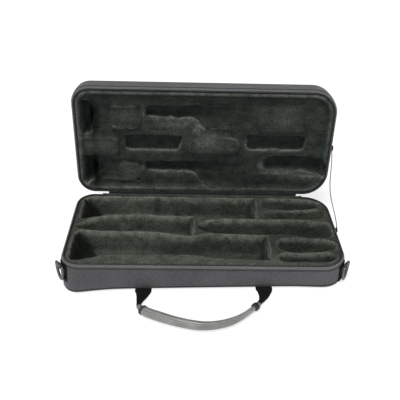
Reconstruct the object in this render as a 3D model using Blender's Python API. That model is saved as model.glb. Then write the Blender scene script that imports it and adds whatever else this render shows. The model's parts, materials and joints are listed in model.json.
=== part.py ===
"""Soft case for a pair of clarinets, standing open: a zipped base and lid with moulded plush linings,
a wrapped carrying handle, two side rings for a shoulder strap and a cord that holds the lid open.

Metres, +Z up. The origin is the centre of the base's underside, +X runs along the case to its wide-cornered
end and +Y points to the hinge. The base is thicker at its bell end, so the plane where it parts from the lid
slopes down along +X: everything above the underside is made in an empty's frame with that plane as z = 0. The
lid, the handle, the rings and the zip sliders hang under empties that stand on their joint axes.
"""

import math

import bmesh
import bpy
from mathutils import Vector

MM = 0.001

# Driving dimensions of the case
CASE_LENGTH = 0.500  # along X, outside the cover
CASE_DEPTH = 0.220  # along Y, front to hinge
BASE_HEIGHT = 0.0525  # underside to the parting plane, at mid-length
SLOPE = math.radians(1.9)  # of the parting plane, down towards +X
LID_HEIGHT = 0.043  # parting plane to the lid's outer face
LEFT_RADIUS = 0.034  # corner radii of the outline, seen from above
RIGHT_RADIUS = 0.048
LID_LEAN = math.radians(5)  # how far the open lid leans back past upright
HINGE_HALF = 0.190  # half the width of the cloth hinge
CORNER_STEPS = 5
GAP = 0.0003  # between pieces that touch

# Layers of either half. Insets are from the case's outline, depths from the parting plane.
BAND_THICK = 0.0032  # padded side cloth
SEAM_DEPTH = 0.0065  # where the zip tape is sewn to the side cloth
COIL_RADIUS = 0.00125
COIL_INSET = 0.0049
COIL_DEPTH = 0.0015
TAPE_THICK = 0.001
PIPING_RADIUS = 0.0016
PANEL_THICK = 0.0026
SHELL_INSET = 0.0035
SHELL_THICK = 0.003
INSERT_INSET = 0.0068
LINING_TOP = 0.0009
LINING_SHEET = 0.0023
LINING_WALL = 0.0018
LID_TRAY_INSET = 0.013
LID_TRAY_DEPTH = 0.0095

# Carrying handle, lying in front of the case
STRAP_HALF_WIDTH = 0.014
STRAP_HALF_THICK = 0.0009
GRIP_RADIUS = 0.0084
GRIP_CORE_RADIUS = 0.005
COLLAR_RADIUS = 0.0078
COLLAR_LENGTH = 0.008
STRAP_END = 0.052  # how far along the handle each webbing strap reaches
HANDLE_PIVOT = Vector((0, -CASE_DEPTH / 2 - 0.0024, 0.0017))

# Shoulder-strap rings, on the two front corners
RING_HALF_WIDTH = 0.012
RING_DROP = 0.030
RING_WIRE = 0.0021
RING_PIVOT_DEPTH = 0.0095  # below the parting plane
RING_PATCH_DEPTHS = (0.007, 0.0405)
RING_STANDOFF = 0.0073  # bar's distance from the cover
RING_TILT = math.radians(4)  # the ring's foot leans in towards the case
RINGS = (  # side, corner centre, corner radius, direction that the ring faces
    ("left", (-CASE_LENGTH / 2 + LEFT_RADIUS, -CASE_DEPTH / 2 + LEFT_RADIUS), LEFT_RADIUS, math.radians(215)),
    ("right", (CASE_LENGTH / 2 - RIGHT_RADIUS, -CASE_DEPTH / 2 + RIGHT_RADIUS), RIGHT_RADIUS, math.radians(327)),
)

# Zip sliders, parked at the two ends of the cloth hinge
SLIDER_SIZE = Vector((0.011, 0.004, 0.0084))
SLIDER_X = 0.1975
SLIDER_DEPTH = 0.0073
PULL_SIZE = Vector((0.024, 0.0014, 0.005))
PULL_ROOT = 0.0006  # how far the pull reaches past its pivot

# Lid stay, on the right-hand end
STAY_X = CASE_LENGTH / 2 + 0.0013
STAY_BASE_Y = 0.005
STAY_LID_REACH = 0.098  # from the hinge up the lid
STAY_RADIUS = 0.0012
STAY_BOW = 0.0085  # how far the slack cord bows in over the opening
STAY_SAG = 0.004
STAY_TAB = Vector((0.0018, 0.010, 0.007))

# Recesses of the linings, in millimetres. A lane is a list of (x, near edge, far edge). In the base the edges
# are y; in the lid they are the distance from the hinge.
BASE_LANES = {  # name: (floor depth below the parting plane, lane)
    "back_joint": (36.5, ((-233, 24, 88), (-225, 27, 94.5), (-198, 35, 97), (-179, 41, 97), (-122, 43, 97),
                          (-7, 36.5, 97), (106, 31.5, 97))),
    "back_bell": (47, ((-230, 28, 86), (-222, 30, 91), (-212, 34, 91), (-192, 45, 84))),
    "back_barrel": (28, ((118, 74, 90), (124, 66, 96), (196, 64, 97), (218, 68, 92), (232, 75, 82))),
    "back_mouthpiece": (28, ((118, 37, 50), (124, 31.5, 55), (189, 31.5, 56), (224, 31.5, 60), (236, 38, 64))),
    "middle_joint_left": (32.5, ((-236, -1, 4), (-209, -8.5, 23), (-179, -10, 33), (-122, -11, 36),
                                 (-81, -12.5, 35), (-44, -20.5, 33), (-17, -22.5, 31))),
    "middle_joint_right": (32.5, ((-9, 2, 8), (2, -10, 19), (48, -15.5, 25), (103, -17.5, 25), (159, -16.5, 25),
                                  (185, -24, 24), (228, -23.5, 20), (238, -12, 10))),
    "front_joint": (36.5, ((-236, -86, -20), (-228, -95, -14), (-214, -93, -15), (-182, -80, -17),
                           (-113, -76, -18.5), (-81, -76, -20), (-44, -76.5, -28), (-24, -77, -29.5),
                           (2, -81, -22), (44, -86, -23), (118, -88, -25))),
    "front_bell": (47, ((-233, -86, -24), (-214, -84, -24), (-192, -72, -30))),
    "front_barrel": (28, ((134, -56, -42), (142, -64, -32), (169, -67.5, -30), (205, -64, -31.5),
                          (228, -59, -33), (238, -54, -40))),
    "front_mouthpiece": (28, ((132, -86, -78), (139, -91, -73), (169, -92, -75), (218, -91, -72), (230, -84, -67))),
}
LID_LANES = {
    "far_bell": (33, ((-234, 130, 188), (-222, 124, 192), (-200, 130, 186), (-180, 137, 181))),
    "far_keys": (22, ((-112, 166, 178), (-108, 161, 184), (-30, 160, 186), (-14, 153, 186), (-2, 142, 187),
                      (20, 134, 188), (104, 134, 190))),
    "middle_keys_left": (22, ((-153, 99, 118), (-148, 93, 124), (-50, 93, 124), (-38, 108, 128))),
    "middle_keys_right": (22, ((84, 103, 122), (89, 97, 128), (191, 97, 128), (196, 103, 122))),
    "near_bell": (33, ((-234, 27, 73), (-222, 21, 79), (-200, 26, 75), (-180, 31, 71))),
    "near_keys": (22, ((-114, 53, 63), (-110, 48, 68), (-28, 47, 69), (-6, 27, 70), (18, 17, 70), (82, 17, 67))),
    "near_barrel": (24, ((122, 62, 68), (143, 53, 76), (191, 50, 82), (226, 41, 79), (236, 50, 70))),
}
DIVIDERS = {  # name: (low x, high x, low y, high y, floor depth), in millimetres
    "divider_back": (99, 105.6, 33, 96.5, 36.5),
    "divider_middle": (-23.6, -17.4, -21.5, 30, 32.5),
    "divider_front": (111, 117.6, -87, -26, 36.5),
}
HANDLE_ROUTE = (  # middle of the handle, left root to right root, in millimetres
    (-108, -113, 1.7), (-108, -119, 1.9), (-109.5, -130, 2.8), (-112, -143.5, 5.2), (-112, -156.5, 7.9),
    (-101, -169.3, 8.7), (-78, -181, 8.7), (-43.5, -194.7, 8.7), (-6, -203.3, 8.7), (28.5, -199.4, 8.7),
    (56.5, -186.3, 8.7), (78, -168, 8.4), (92, -151, 6.4), (100, -134.5, 3.3), (103, -120, 1.9), (103, -113, 1.7),
)

PAINTS = {  # material name: colour, roughness, metallic
    "cover_cloth": ((0.105, 0.105, 0.112), 0.85, 0.0),
    "piping_cloth": ((0.02, 0.02, 0.022), 0.6, 0.0),
    "zip_tape": ((0.13, 0.13, 0.14), 0.8, 0.0),
    "zip_coil": ((0.015, 0.015, 0.016), 0.4, 0.0),
    "shell_board": ((0.05, 0.05, 0.05), 0.7, 0.0),
    "foam": ((0.16, 0.16, 0.16), 0.9, 0.0),
    "plush": ((0.035, 0.038, 0.033), 1.0, 0.0),
    "webbing": ((0.008, 0.008, 0.009), 0.8, 0.0),
    "grip_leather": ((0.24, 0.25, 0.25), 0.42, 0.0),
    "ring_metal": ((0.55, 0.55, 0.56), 0.3, 1.0),
    "stay_cord": ((0.2, 0.2, 0.2), 0.7, 0.0),
}


# --- scene and mesh helpers ---------------------------------------------------------------------------------


def clear_scene():
    for obj in list(bpy.data.objects):
        bpy.data.objects.remove(obj)


def paint(obj, name):
    colour, roughness, metallic = PAINTS[name]
    material = bpy.data.materials.new(f"{obj.name}_{name}")
    material.use_nodes = True
    shader = material.node_tree.nodes["Principled BSDF"]
    shader.inputs["Base Color"].default_value = (*colour, 1)
    shader.inputs["Roughness"].default_value = roughness
    shader.inputs["Metallic"].default_value = metallic
    obj.data.materials.append(material)


def make_object(name, mesh, material, parent=None, location=(0, 0, 0), smooth=False):
    obj = bpy.data.objects.new(name, mesh)
    bpy.context.scene.collection.objects.link(obj)
    obj.parent = parent
    obj.location = location
    if smooth:
        mesh.shade_smooth()
        mesh.set_sharp_from_angle(angle=math.radians(40))
    paint(obj, material)
    return obj


def empty_at(name, location, rotation=(0, 0, 0), parent=None):
    empty = bpy.data.objects.new(name, None)
    bpy.context.scene.collection.objects.link(empty)
    empty.parent = parent
    empty.location = location
    empty.rotation_euler = rotation
    return empty


def finish_mesh(bm, name):
    bmesh.ops.recalc_face_normals(bm, faces=bm.faces)
    mesh = bpy.data.meshes.new(name)
    bm.to_mesh(mesh)
    bm.free()
    return mesh


def loft(name, rings, closed):
    """A solid through equal rings of points: a closed chain of them, or an open one with flat ends."""
    bm = bmesh.new()
    rows = [[bm.verts.new(point) for point in ring] for ring in rings]
    count = len(rows[0])
    pairs = list(zip(rows, rows[1:]))
    if closed:
        pairs.append((rows[-1], rows[0]))
    for first, second in pairs:
        for i in range(count):
            j = (i + 1) % count
            bm.faces.new((first[i], first[j], second[j], second[i]))
    if not closed:
        bm.faces.new(rows[0])
        bm.faces.new(rows[-1])
    return finish_mesh(bm, name)


def level(z, x):
    """A height that may be a function of x."""
    return z(x) if callable(z) else z


def prism(name, outline_points, low, high):
    """An outline in the XY plane, raised from z = low to z = high."""
    return loft(name, [[Vector((x, y, level(z, x))) for x, y in outline_points] for z in (low, high)], closed=False)


def box(name, low, high):
    (x0, y0, z0), (x1, y1, z1) = low, high
    return prism(name, ((x0, y0), (x1, y0), (x1, y1), (x0, y1)), z0, z1)


# --- the rounded outline of either half ---------------------------------------------------------------------

CORNERS = (  # x side, y side, radius, direction of the arc's first point
    (-1, 1, LEFT_RADIUS, 90),
    (-1, -1, LEFT_RADIUS, 180),
    (1, -1, RIGHT_RADIUS, 270),
    (1, 1, RIGHT_RADIUS, 0),
)


def outline(inset, first_corner=0):
    """The case's outline moved in by inset, counter-clockwise from one of its corners."""
    points = []
    for x_side, y_side, radius, start in CORNERS[first_corner:] + CORNERS[:first_corner]:
        centre_x = x_side * (CASE_LENGTH / 2 - radius)
        centre_y = y_side * (CASE_DEPTH / 2 - radius)
        for step in range(CORNER_STEPS + 1):
            angle = math.radians(start + 90 * step / CORNER_STEPS)
            points.append((centre_x + (radius - inset) * math.cos(angle),
                           centre_y + (radius - inset) * math.sin(angle)))
    return points


def zip_line(inset, hinge_side):
    """The outline from one end of the cloth hinge round to the other. hinge_side is the sign of its y."""
    edge_y = hinge_side * (CASE_DEPTH / 2 - inset)
    start = (-hinge_side * HINGE_HALF, edge_y)
    end = (hinge_side * HINGE_HALF, edge_y)
    return [start] + outline(inset, first_corner=0 if hinge_side > 0 else 2) + [end]


def rim(name, section, hinge_side=None):
    """A section of (inset, z) points carried round the outline, or round the zip's part of it."""
    if hinge_side is None:
        lines = [outline(inset) for inset, _ in section]
    else:
        lines = [zip_line(inset, hinge_side) for inset, _ in section]
    rings = [
        [Vector((*line[i], level(z, line[i][0]))) for line, (_, z) in zip(lines, section)]
        for i in range(len(lines[0]))
    ]
    return loft(name, rings, closed=hinge_side is None)


def round_section(inset, z, radius, sides):
    angles = [math.tau * k / sides for k in range(sides)]
    return [(inset + radius * math.cos(a), above(z, radius * math.sin(a))) for a in angles]


def above(z, rise):
    """A height raised by rise, whether it is a number or a function of x."""
    return (lambda x: z(x) + rise) if callable(z) else z + rise


def underside(x):
    """The flat underside of the base, seen from the sloping parting plane."""
    return -(BASE_HEIGHT - x * math.sin(SLOPE)) / math.cos(SLOPE)


# --- recesses -----------------------------------------------------------------------------------------------


def lane_outline(lane, y_offset):
    near = [Vector((x * MM, low * MM + y_offset)) for x, low, _ in lane]
    far = [Vector((x * MM, high * MM + y_offset)) for x, _, high in reversed(lane)]
    return near + far


def grown(points, amount):
    """A counter-clockwise outline with every side moved out by amount."""
    moved = []
    for i, point in enumerate(points):
        before = (point - points[i - 1]).normalized()
        after = (points[(i + 1) % len(points)] - point).normalized()
        out = Vector((before.y + after.y, -before.x - after.x))
        normal = Vector((before.y, -before.x))
        moved.append(point + out * (amount / out.dot(normal)))
    return moved


def recess_cutters(prefix, lanes, extra, y_offset, parent, location):
    """Three collections of cutters: the recesses, their lined outsides, and the hollows of the foam."""
    layers = (
        ("recess", 0, 0, 0.01),
        ("lined", LINING_WALL, LINING_WALL, -LINING_TOP - LINING_SHEET / 2),
        ("hollow", LINING_WALL + GAP, LINING_WALL + GAP, 0.01),
    )
    shapes = [(name, lane_outline(lane, y_offset), depth * MM) for name, (depth, lane) in lanes.items()]
    found = {}
    for layer, growth, deeper, top in layers:
        group = bpy.data.collections.new(f"{prefix}_{layer}_cutters")
        bpy.context.scene.collection.children.link(group)
        for name, points, depth in shapes + extra:
            points = grown([Vector(p) for p in points], growth)
            mesh = prism(f"{prefix}_{name}_{layer}", points, -depth - deeper, top)
            cutter = bpy.data.objects.new(f"{prefix}_{name}_{layer}", mesh)
            group.objects.link(cutter)
            cutter.parent = parent
            cutter.location = location
            cutter.hide_render = True
            cutter.display_type = "WIRE"
        found[layer] = group
    return found


def combine(obj, group, operation):
    modifier = obj.modifiers.new(group.name, "BOOLEAN")
    modifier.operation = operation
    modifier.operand_type = "COLLECTION"
    modifier.collection = group
    modifier.solver = "EXACT"


# --- either half of the case --------------------------------------------------------------------------------


def build_half(prefix, floor, hinge_side, lanes, extra, y_offset, parent, location):
    """The cover, zip, shell, foam and lining of one half, with z = 0 on the parting plane."""

    def add(name, mesh, material, smooth=False):
        return make_object(f"{prefix}_{name}", mesh, material, parent, location, smooth)

    outer = "top" if prefix == "lid" else "bottom"
    panel_inset = 2 * PIPING_RADIUS + 0.0004
    panel_top = above(floor, PANEL_THICK)
    piping_z = above(panel_top, GAP + PIPING_RADIUS)
    band_low = above(piping_z, PIPING_RADIUS + GAP)
    add(f"{outer}_panel", prism("panel", outline(panel_inset), floor, panel_top), "cover_cloth")
    add("seam_piping", rim("piping", round_section(PIPING_RADIUS, piping_z, PIPING_RADIUS, 6)), "piping_cloth", True)
    band = ((0, -SEAM_DEPTH), (0, band_low), (BAND_THICK, band_low), (BAND_THICK, -SEAM_DEPTH))
    add("side_band", rim("band", band), "cover_cloth", True)
    tape_low, tape_high = -SEAM_DEPTH + GAP, -0.0017
    lean = 0.0016
    tape = ((0.0004, tape_low), (0.0004 + TAPE_THICK, tape_low),
            (0.0004 + TAPE_THICK + lean, tape_high), (0.0004 + lean, tape_high))
    add("zip_tape", rim("tape", tape, hinge_side), "zip_tape", True)
    coil = round_section(COIL_INSET, -COIL_DEPTH, COIL_RADIUS, 6)
    add("zip_coil", rim("coil", coil, hinge_side), "zip_coil", True)

    shell_low = above(panel_top, GAP)
    shell_top = -COIL_DEPTH - COIL_RADIUS - 0.00035
    shell = add("shell", prism("shell", outline(SHELL_INSET), shell_low, shell_top), "shell_board")
    tub = bpy.data.objects.new(
        f"{prefix}_tub_cutter",
        prism("tub", outline(SHELL_INSET + SHELL_THICK), above(shell_low, SHELL_THICK), 0.01),
    )
    tubs = bpy.data.collections.new(f"{prefix}_tub_cutters")
    bpy.context.scene.collection.children.link(tubs)
    tubs.objects.link(tub)
    tub.parent = parent
    tub.location = location
    tub.hide_render = True
    tub.display_type = "WIRE"
    combine(shell, tubs, "DIFFERENCE")

    cutters = recess_cutters(prefix, lanes, extra, y_offset, parent, location)
    foam_low = above(shell_low, SHELL_THICK + GAP)
    sheet_low = -LINING_TOP - LINING_SHEET
    foam = add("foam_insert", prism("foam", outline(INSERT_INSET), foam_low, sheet_low - GAP), "foam")
    combine(foam, cutters["hollow"], "DIFFERENCE")
    lining = add("plush_lining", prism("lining", outline(INSERT_INSET), sheet_low, -LINING_TOP), "plush")
    combine(lining, cutters["lined"], "UNION")
    combine(lining, cutters["recess"], "DIFFERENCE")


def build_dividers(parting):
    for name, (x0, x1, y0, y1, depth) in DIVIDERS.items():
        low = (x0 * MM, y0 * MM, -depth * MM + GAP)
        high = (x1 * MM, y1 * MM, -LINING_TOP)
        make_object(name, box(name, low, high), "plush", parting)


def build_hinge_cloth(parting):
    """The cloth strip behind the hinge line: up the base's back, then out along the lid's hinge wall."""
    back = CASE_DEPTH / 2
    thick = 0.001
    reach = SEAM_DEPTH - GAP
    away = Vector((0, math.cos(LID_LEAN), -math.sin(LID_LEAN)))
    up = Vector((0, math.sin(LID_LEAN), math.cos(LID_LEAN)))
    hinge = Vector((0, back, 0))
    section = (
        Vector((0, back - thick, -reach)),
        Vector((0, back, -reach)),
        hinge,
        hinge + away * reach,
        hinge + away * reach + up * thick,
        Vector((0, back - thick, thick)),
    )
    half = HINGE_HALF - 0.0006
    rings = [[Vector((x, point.y, point.z)) for point in section] for x in (-half, half)]
    make_object("hinge_cloth", loft("hinge_cloth", rings, closed=False), "cover_cloth", parting)


# --- carrying handle ----------------------------------------------------------------------------------------


def smooth_line(points, spacing):
    """Points every spacing metres along a smooth curve through the given ones."""
    ends = [2 * points[0] - points[1]] + list(points) + [2 * points[-1] - points[-2]]
    fine = []
    for a, b, c, d in zip(ends, ends[1:], ends[2:], ends[3:]):
        for step in range(24):
            t = step / 24
            fine.append(0.5 * (2 * b + (c - a) * t + (2 * a - 5 * b + 4 * c - d) * t**2
                               + (3 * b - a - 3 * c + d) * t**3))
    fine.append(points[-1])
    length = [0.0]
    for p, q in zip(fine, fine[1:]):
        length.append(length[-1] + (q - p).length)
    count = max(2, round(length[-1] / spacing))
    line, i = [], 0
    for k in range(count + 1):
        target = length[-1] * k / count
        while i < len(fine) - 2 and length[i + 1] < target:
            i += 1
        share = (target - length[i]) / (length[i + 1] - length[i])
        line.append(fine[i].lerp(fine[i + 1], min(max(share, 0), 1)))
    return line, length[-1]


def frames(line, start, end):
    """(point, sideways, upwards) at each point of the line between two distances along it."""
    step = (line[1] - line[0]).length
    found = []
    for i, point in enumerate(line):
        if start - step / 4 <= i * step <= end + step / 4:
            forward = (line[min(i + 1, len(line) - 1)] - line[max(i - 1, 0)]).normalized()
            side = forward.cross(Vector((0, 0, 1))).normalized()
            found.append((i * step, point, side, side.cross(forward)))
    return found


def build_handle(pivot):
    route = [Vector(p) * MM for p in HANDLE_ROUTE]
    line, length = smooth_line(route, 0.0035)
    collar_start = STRAP_END + GAP
    grip_start = collar_start + COLLAR_LENGTH + GAP

    def add(name, mesh, material):
        make_object(name, mesh, material, pivot, -HANDLE_PIVOT, smooth=True)

    def strap_ring(distance, point, side, up):
        """Flat at the case and folded narrow where it enters its collar."""
        fold = min(1, max(0, distance / STRAP_END))
        half = STRAP_HALF_WIDTH * (1 - fold) + 0.0048 * fold
        thick = STRAP_HALF_THICK * (1 - fold) + 0.0042 * fold
        corner = 0.45 * thick
        flat = ((half, thick - corner), (half - corner, thick), (corner - half, thick), (-half, thick - corner),
                (-half, corner - thick), (corner - half, -thick), (half - corner, -thick), (half, corner - thick))
        return [point + side * a + up * b for a, b in flat]

    def round_ring(frame, radius, sides=10):
        _, point, side, up = frame
        return [point + (side * math.cos(math.tau * k / sides) + up * math.sin(math.tau * k / sides)) * radius
                for k in range(sides)]

    # Each piece starts and ends on points of the handle's line, shifted so that neighbours keep the gap.
    for side_name, path in (("left", line), ("right", line[::-1])):
        strap = [strap_ring(*frame) for frame in frames(path, 0, STRAP_END)]
        add(f"handle_strap_{side_name}", loft("strap", strap, closed=False), "webbing")
        collar = frames(path, collar_start + 0.002, collar_start + COLLAR_LENGTH)
        add(f"handle_collar_{side_name}",
            loft("collar", [round_ring(f, COLLAR_RADIUS) for f in collar], closed=False), "piping_cloth")
    grip = frames(line, grip_start + 0.003, length - grip_start - 0.003)
    core = [round_ring(f, GRIP_CORE_RADIUS) for f in grip]
    add("handle_core", loft("core", core, closed=False), "foam")
    outer = [round_ring(f, GRIP_RADIUS) for f in grip]
    inner = [round_ring(f, GRIP_CORE_RADIUS + GAP) for f in grip]
    add("handle_grip_wrap", loft("wrap", outer + inner[::-1], closed=True), "grip_leather")


def build_handle_tails():
    """The sewn ends of the webbing, where it goes in under the front seam."""
    for side_name, x in (("left", HANDLE_ROUTE[0][0] * MM), ("right", HANDLE_ROUTE[-1][0] * MM)):
        low = (x - STRAP_HALF_WIDTH, -CASE_DEPTH / 2 - 0.0008, 0.0006)
        high = (x + STRAP_HALF_WIDTH, -CASE_DEPTH / 2 + 0.0032, 0.0024)
        name = f"handle_tail_{side_name}"
        make_object(name, box(name, low, high), "webbing")


# --- shoulder-strap rings -----------------------------------------------------------------------------------


def build_ring(parting, side_name, centre, radius, facing):
    """A cloth patch on the corner, a pressed metal loop near its top, and the ring that hangs in the loop."""
    middle = Vector((*centre, 0))

    def arc(distance, angle, z):
        return middle + Vector((distance * math.cos(angle), distance * math.sin(angle), z))

    patch_half = 0.011 / radius
    patch_high, patch_low = (-depth for depth in RING_PATCH_DEPTHS)
    inner, outer = radius + GAP, radius + 0.0022
    rings = []
    for step in range(5):
        angle = facing + patch_half * (step / 2 - 1)
        rings.append([arc(inner, angle, patch_low), arc(outer, angle, patch_low),
                      arc(outer, angle, patch_high), arc(inner, angle, patch_high)])
    make_object(f"ring_patch_{side_name}", loft("patch", rings, closed=False), "webbing", parting, smooth=True)

    out = Vector((math.cos(facing), math.sin(facing), 0))
    along = Vector((-out.y, out.x, 0))
    up = Vector((0, 0, 1))
    pivot = arc(radius + RING_STANDOFF, facing, -RING_PIVOT_DEPTH)
    hole, wall, half_length, sides = RING_WIRE + 0.0006, 0.0046, 0.006, 10
    # A round-holed loop: its outside is a rounded square that comes within the gap of the patch.
    rings = []
    for end, reach in ((-1, wall), (1, wall), (1, hole), (-1, hole)):
        ring = []
        for k in range(sides):
            angle = math.tau * (k + 0.5) / sides
            ring.append(pivot + along * (end * half_length) + (out * math.cos(angle) + up * math.sin(angle)) * reach)
        rings.append(ring)
    make_object(f"ring_loop_{side_name}", loft("loop", rings, closed=True), "ring_metal", parting, smooth=True)

    axis = empty_at(f"d_ring_{side_name}_axis", pivot, parent=parting)
    down = (-up * math.cos(RING_TILT) - out * math.sin(RING_TILT)).normalized()
    face = along.cross(down)
    path = [along * (RING_HALF_WIDTH * 0.92 * s) for s in (-1, -0.33, 0.33, 1)]
    for step in range(9):
        angle = math.radians(-4 + 188 * step / 8)
        drop = 0.0035 + (RING_DROP - 0.0035) * math.sin(angle)
        path.append(along * (RING_HALF_WIDTH * math.cos(angle)) + down * drop)
    rings = []
    for i, point in enumerate(path):
        before = (point - path[i - 1]).normalized()
        after = (path[(i + 1) % len(path)] - point).normalized()
        inward = face.cross((before + after).normalized())
        rings.append([point + (inward * math.cos(math.tau * k / 8) + face * math.sin(math.tau * k / 8)) * RING_WIRE
                      for k in range(8)])
    make_object(f"d_ring_{side_name}", loft("d_ring", rings, closed=True), "ring_metal", axis, smooth=True)


# --- zip sliders --------------------------------------------------------------------------------------------


def build_slider(parting, side_name, side):
    """A slider body with a pull that lies back along the hinge."""
    centre = Vector((side * SLIDER_X, CASE_DEPTH / 2 + 0.0004 + SLIDER_SIZE.y / 2, -SLIDER_DEPTH))
    axis = empty_at(f"zip_slider_{side_name}_axis", centre, parent=parting)
    half = SLIDER_SIZE / 2
    outline_points = ((-half.x, -half.y), (half.x, -half.y), (half.x * 0.8, half.y), (-half.x * 0.8, half.y))
    body = prism("slider", outline_points, -half.z, half.z)
    make_object(f"zip_slider_{side_name}", body, "ring_metal", axis)
    pull_pivot = centre + Vector((0, half.y + GAP + PULL_SIZE.y / 2, 0))
    pull_axis = empty_at(f"zip_pull_{side_name}_axis", pull_pivot, parent=parting)
    wide, narrow = PULL_SIZE.z / 2, PULL_SIZE.z / 4
    root, tip = side * PULL_ROOT, -side * PULL_SIZE.x
    middle = (root + tip) / 2
    profile = ((root, -narrow), (middle, -wide), (tip, -wide * 0.6), (tip, wide * 0.6), (middle, wide), (root, narrow))
    rings = [[Vector((x, y, z)) for x, z in profile] for y in (-PULL_SIZE.y / 2, PULL_SIZE.y / 2)]
    make_object(f"zip_pull_{side_name}", loft("pull", rings, closed=False), "ring_metal", pull_axis)


# --- lid stay -----------------------------------------------------------------------------------------------


def lid_point(x, reach, depth):
    """A point of the open lid, from its distance up from the hinge and back from the parting plane."""
    sine, cosine = math.sin(LID_LEAN), math.cos(LID_LEAN)
    return Vector((x, CASE_DEPTH / 2 + reach * sine + depth * cosine, reach * cosine - depth * sine))


def build_stay(parting, lid_hinge):
    half_y = STAY_TAB.y / 2
    low_x = CASE_LENGTH / 2 + 0.0004
    top_z = -0.003
    make_object(
        "stay_tab_base",
        box("stay_tab_base", (low_x, STAY_BASE_Y - half_y, top_z - STAY_TAB.z),
            (low_x + STAY_TAB.x, STAY_BASE_Y + half_y, top_z)),
        "webbing", parting,
    )
    make_object(
        "stay_tab_lid",
        box("stay_tab_lid", (low_x, STAY_LID_REACH, -0.004 - STAY_TAB.z),
            (low_x + STAY_TAB.x, STAY_LID_REACH + STAY_TAB.y, -0.004)),
        "webbing", lid_hinge,
    )
    start = Vector((STAY_X, STAY_BASE_Y, top_z + STAY_RADIUS + GAP))
    end = lid_point(STAY_X, STAY_LID_REACH - STAY_RADIUS - GAP, 0.004 + STAY_TAB.z / 2)
    curve = bpy.data.curves.new("stay_cord", "CURVE")
    curve.dimensions = "3D"
    curve.bevel_depth = STAY_RADIUS
    curve.bevel_resolution = 2
    curve.use_fill_caps = True
    spline = curve.splines.new("POLY")
    count = 26
    spline.points.add(count - 1)
    for i in range(count):
        share = i / (count - 1)
        slack = math.sin(math.pi * share) ** 2
        point = start.lerp(end, share) - Vector((STAY_BOW * slack, 0, STAY_SAG * slack))
        spline.points[i].co = (*point, 1)
    cord = bpy.data.objects.new("stay_cord", curve)
    bpy.context.scene.collection.objects.link(cord)
    cord.parent = parting
    paint(cord, "stay_cord")


def main():
    clear_scene()
    parting = empty_at("parting_plane", (0, 0, BASE_HEIGHT), (0, SLOPE, 0))
    build_half("base", underside, 1, BASE_LANES, [], 0, parting, (0, 0, 0))
    build_dividers(parting)
    hinge_line = (0, CASE_DEPTH / 2, 0)
    lid_hinge = empty_at("lid_hinge_axis", hinge_line, (math.pi / 2 - LID_LEAN, 0, 0), parting)
    tray = [("tray", [Vector(p) for p in outline(LID_TRAY_INSET)], LID_TRAY_DEPTH)]
    build_half("lid", -LID_HEIGHT, -1, LID_LANES, tray, -CASE_DEPTH / 2, lid_hinge, hinge_line)
    build_hinge_cloth(parting)
    build_stay(parting, lid_hinge)
    for ring in RINGS:
        build_ring(parting, *ring)
    build_slider(parting, "left", -1)
    build_slider(parting, "right", 1)
    build_handle_tails()
    build_handle(empty_at("handle_axis", HANDLE_PIVOT))


main()
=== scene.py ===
"""Looks for the open clarinet case: woven covers, zips, pressed plush linings, a wrapped handle and rings.

Metres, +Z up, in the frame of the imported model. Pieces of either half are made with its parting plane as z = 0,
the lid's lying open and flat behind the case, and are then placed by TO_BASE and TO_LID.
"""

import json
import math

import bpy
import numpy as np
from mathutils import Matrix, Vector


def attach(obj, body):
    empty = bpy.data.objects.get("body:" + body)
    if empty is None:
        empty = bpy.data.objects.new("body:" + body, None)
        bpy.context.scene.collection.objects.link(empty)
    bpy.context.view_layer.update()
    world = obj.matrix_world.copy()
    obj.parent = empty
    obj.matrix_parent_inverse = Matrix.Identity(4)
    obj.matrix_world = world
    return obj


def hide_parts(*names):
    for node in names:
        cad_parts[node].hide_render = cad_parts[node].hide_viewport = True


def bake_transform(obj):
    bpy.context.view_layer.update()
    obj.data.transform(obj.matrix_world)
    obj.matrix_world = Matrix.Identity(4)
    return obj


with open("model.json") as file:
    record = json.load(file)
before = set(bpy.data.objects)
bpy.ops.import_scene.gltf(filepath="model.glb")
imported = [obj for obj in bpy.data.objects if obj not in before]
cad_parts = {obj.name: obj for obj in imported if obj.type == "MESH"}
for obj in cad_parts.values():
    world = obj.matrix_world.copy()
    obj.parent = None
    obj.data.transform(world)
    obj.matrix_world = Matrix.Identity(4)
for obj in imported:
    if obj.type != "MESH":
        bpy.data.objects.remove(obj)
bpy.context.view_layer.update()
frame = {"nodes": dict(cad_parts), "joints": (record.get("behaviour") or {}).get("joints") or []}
MM = 0.001


# --- dimensions, from the frame where it has them ---


def joint(name):
    return next(j for j in frame["joints"] if j["name"] == name)


HINGE = Vector(joint("lid_hinge")["pos_m"])
HINGE_AXIS = Vector(joint("lid_hinge")["axis"])
HALF_LENGTH = 0.250
HALF_DEPTH = HINGE.y
BASE_HEIGHT = HINGE.z  # at mid-length
SLOPE = math.atan2(abs(HINGE_AXIS.z), abs(HINGE_AXIS.x))  # of the parting plane, down towards +X
LID_HEIGHT = 0.043
LID_LEAN = math.radians(5)  # of the open lid, backwards from upright
LEFT_RADIUS = 0.034
RIGHT_RADIUS = 0.048
HINGE_HALF = 0.190  # half the length of the cloth hinge
PIPING_RADIUS = 0.0016
PANEL_THICK = 0.0026
SHELL_THICK = 0.003
SEAM_DEPTH = 0.0065  # of the seam between side band and zip tape, below the parting plane
INSERT_INSET = 0.0068  # of the lining's edge, from the outer outline
LINING_TOP = 0.0009  # depth of the lining's highest point below the parting plane
GAP = 0.0003  # between pieces that lie against each other

TO_BASE = Matrix.Translation((0, 0, BASE_HEIGHT)) @ Matrix.Rotation(SLOPE, 4, "Y")
TO_LID = (TO_BASE @ Matrix.Translation((0, HALF_DEPTH, 0)) @ Matrix.Rotation(math.pi / 2 - LID_LEAN, 4, "X")
          @ Matrix.Translation((0, HALF_DEPTH, 0)))
NORMAL = TO_BASE.to_3x3() @ Vector((0, 0, 1))


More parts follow.
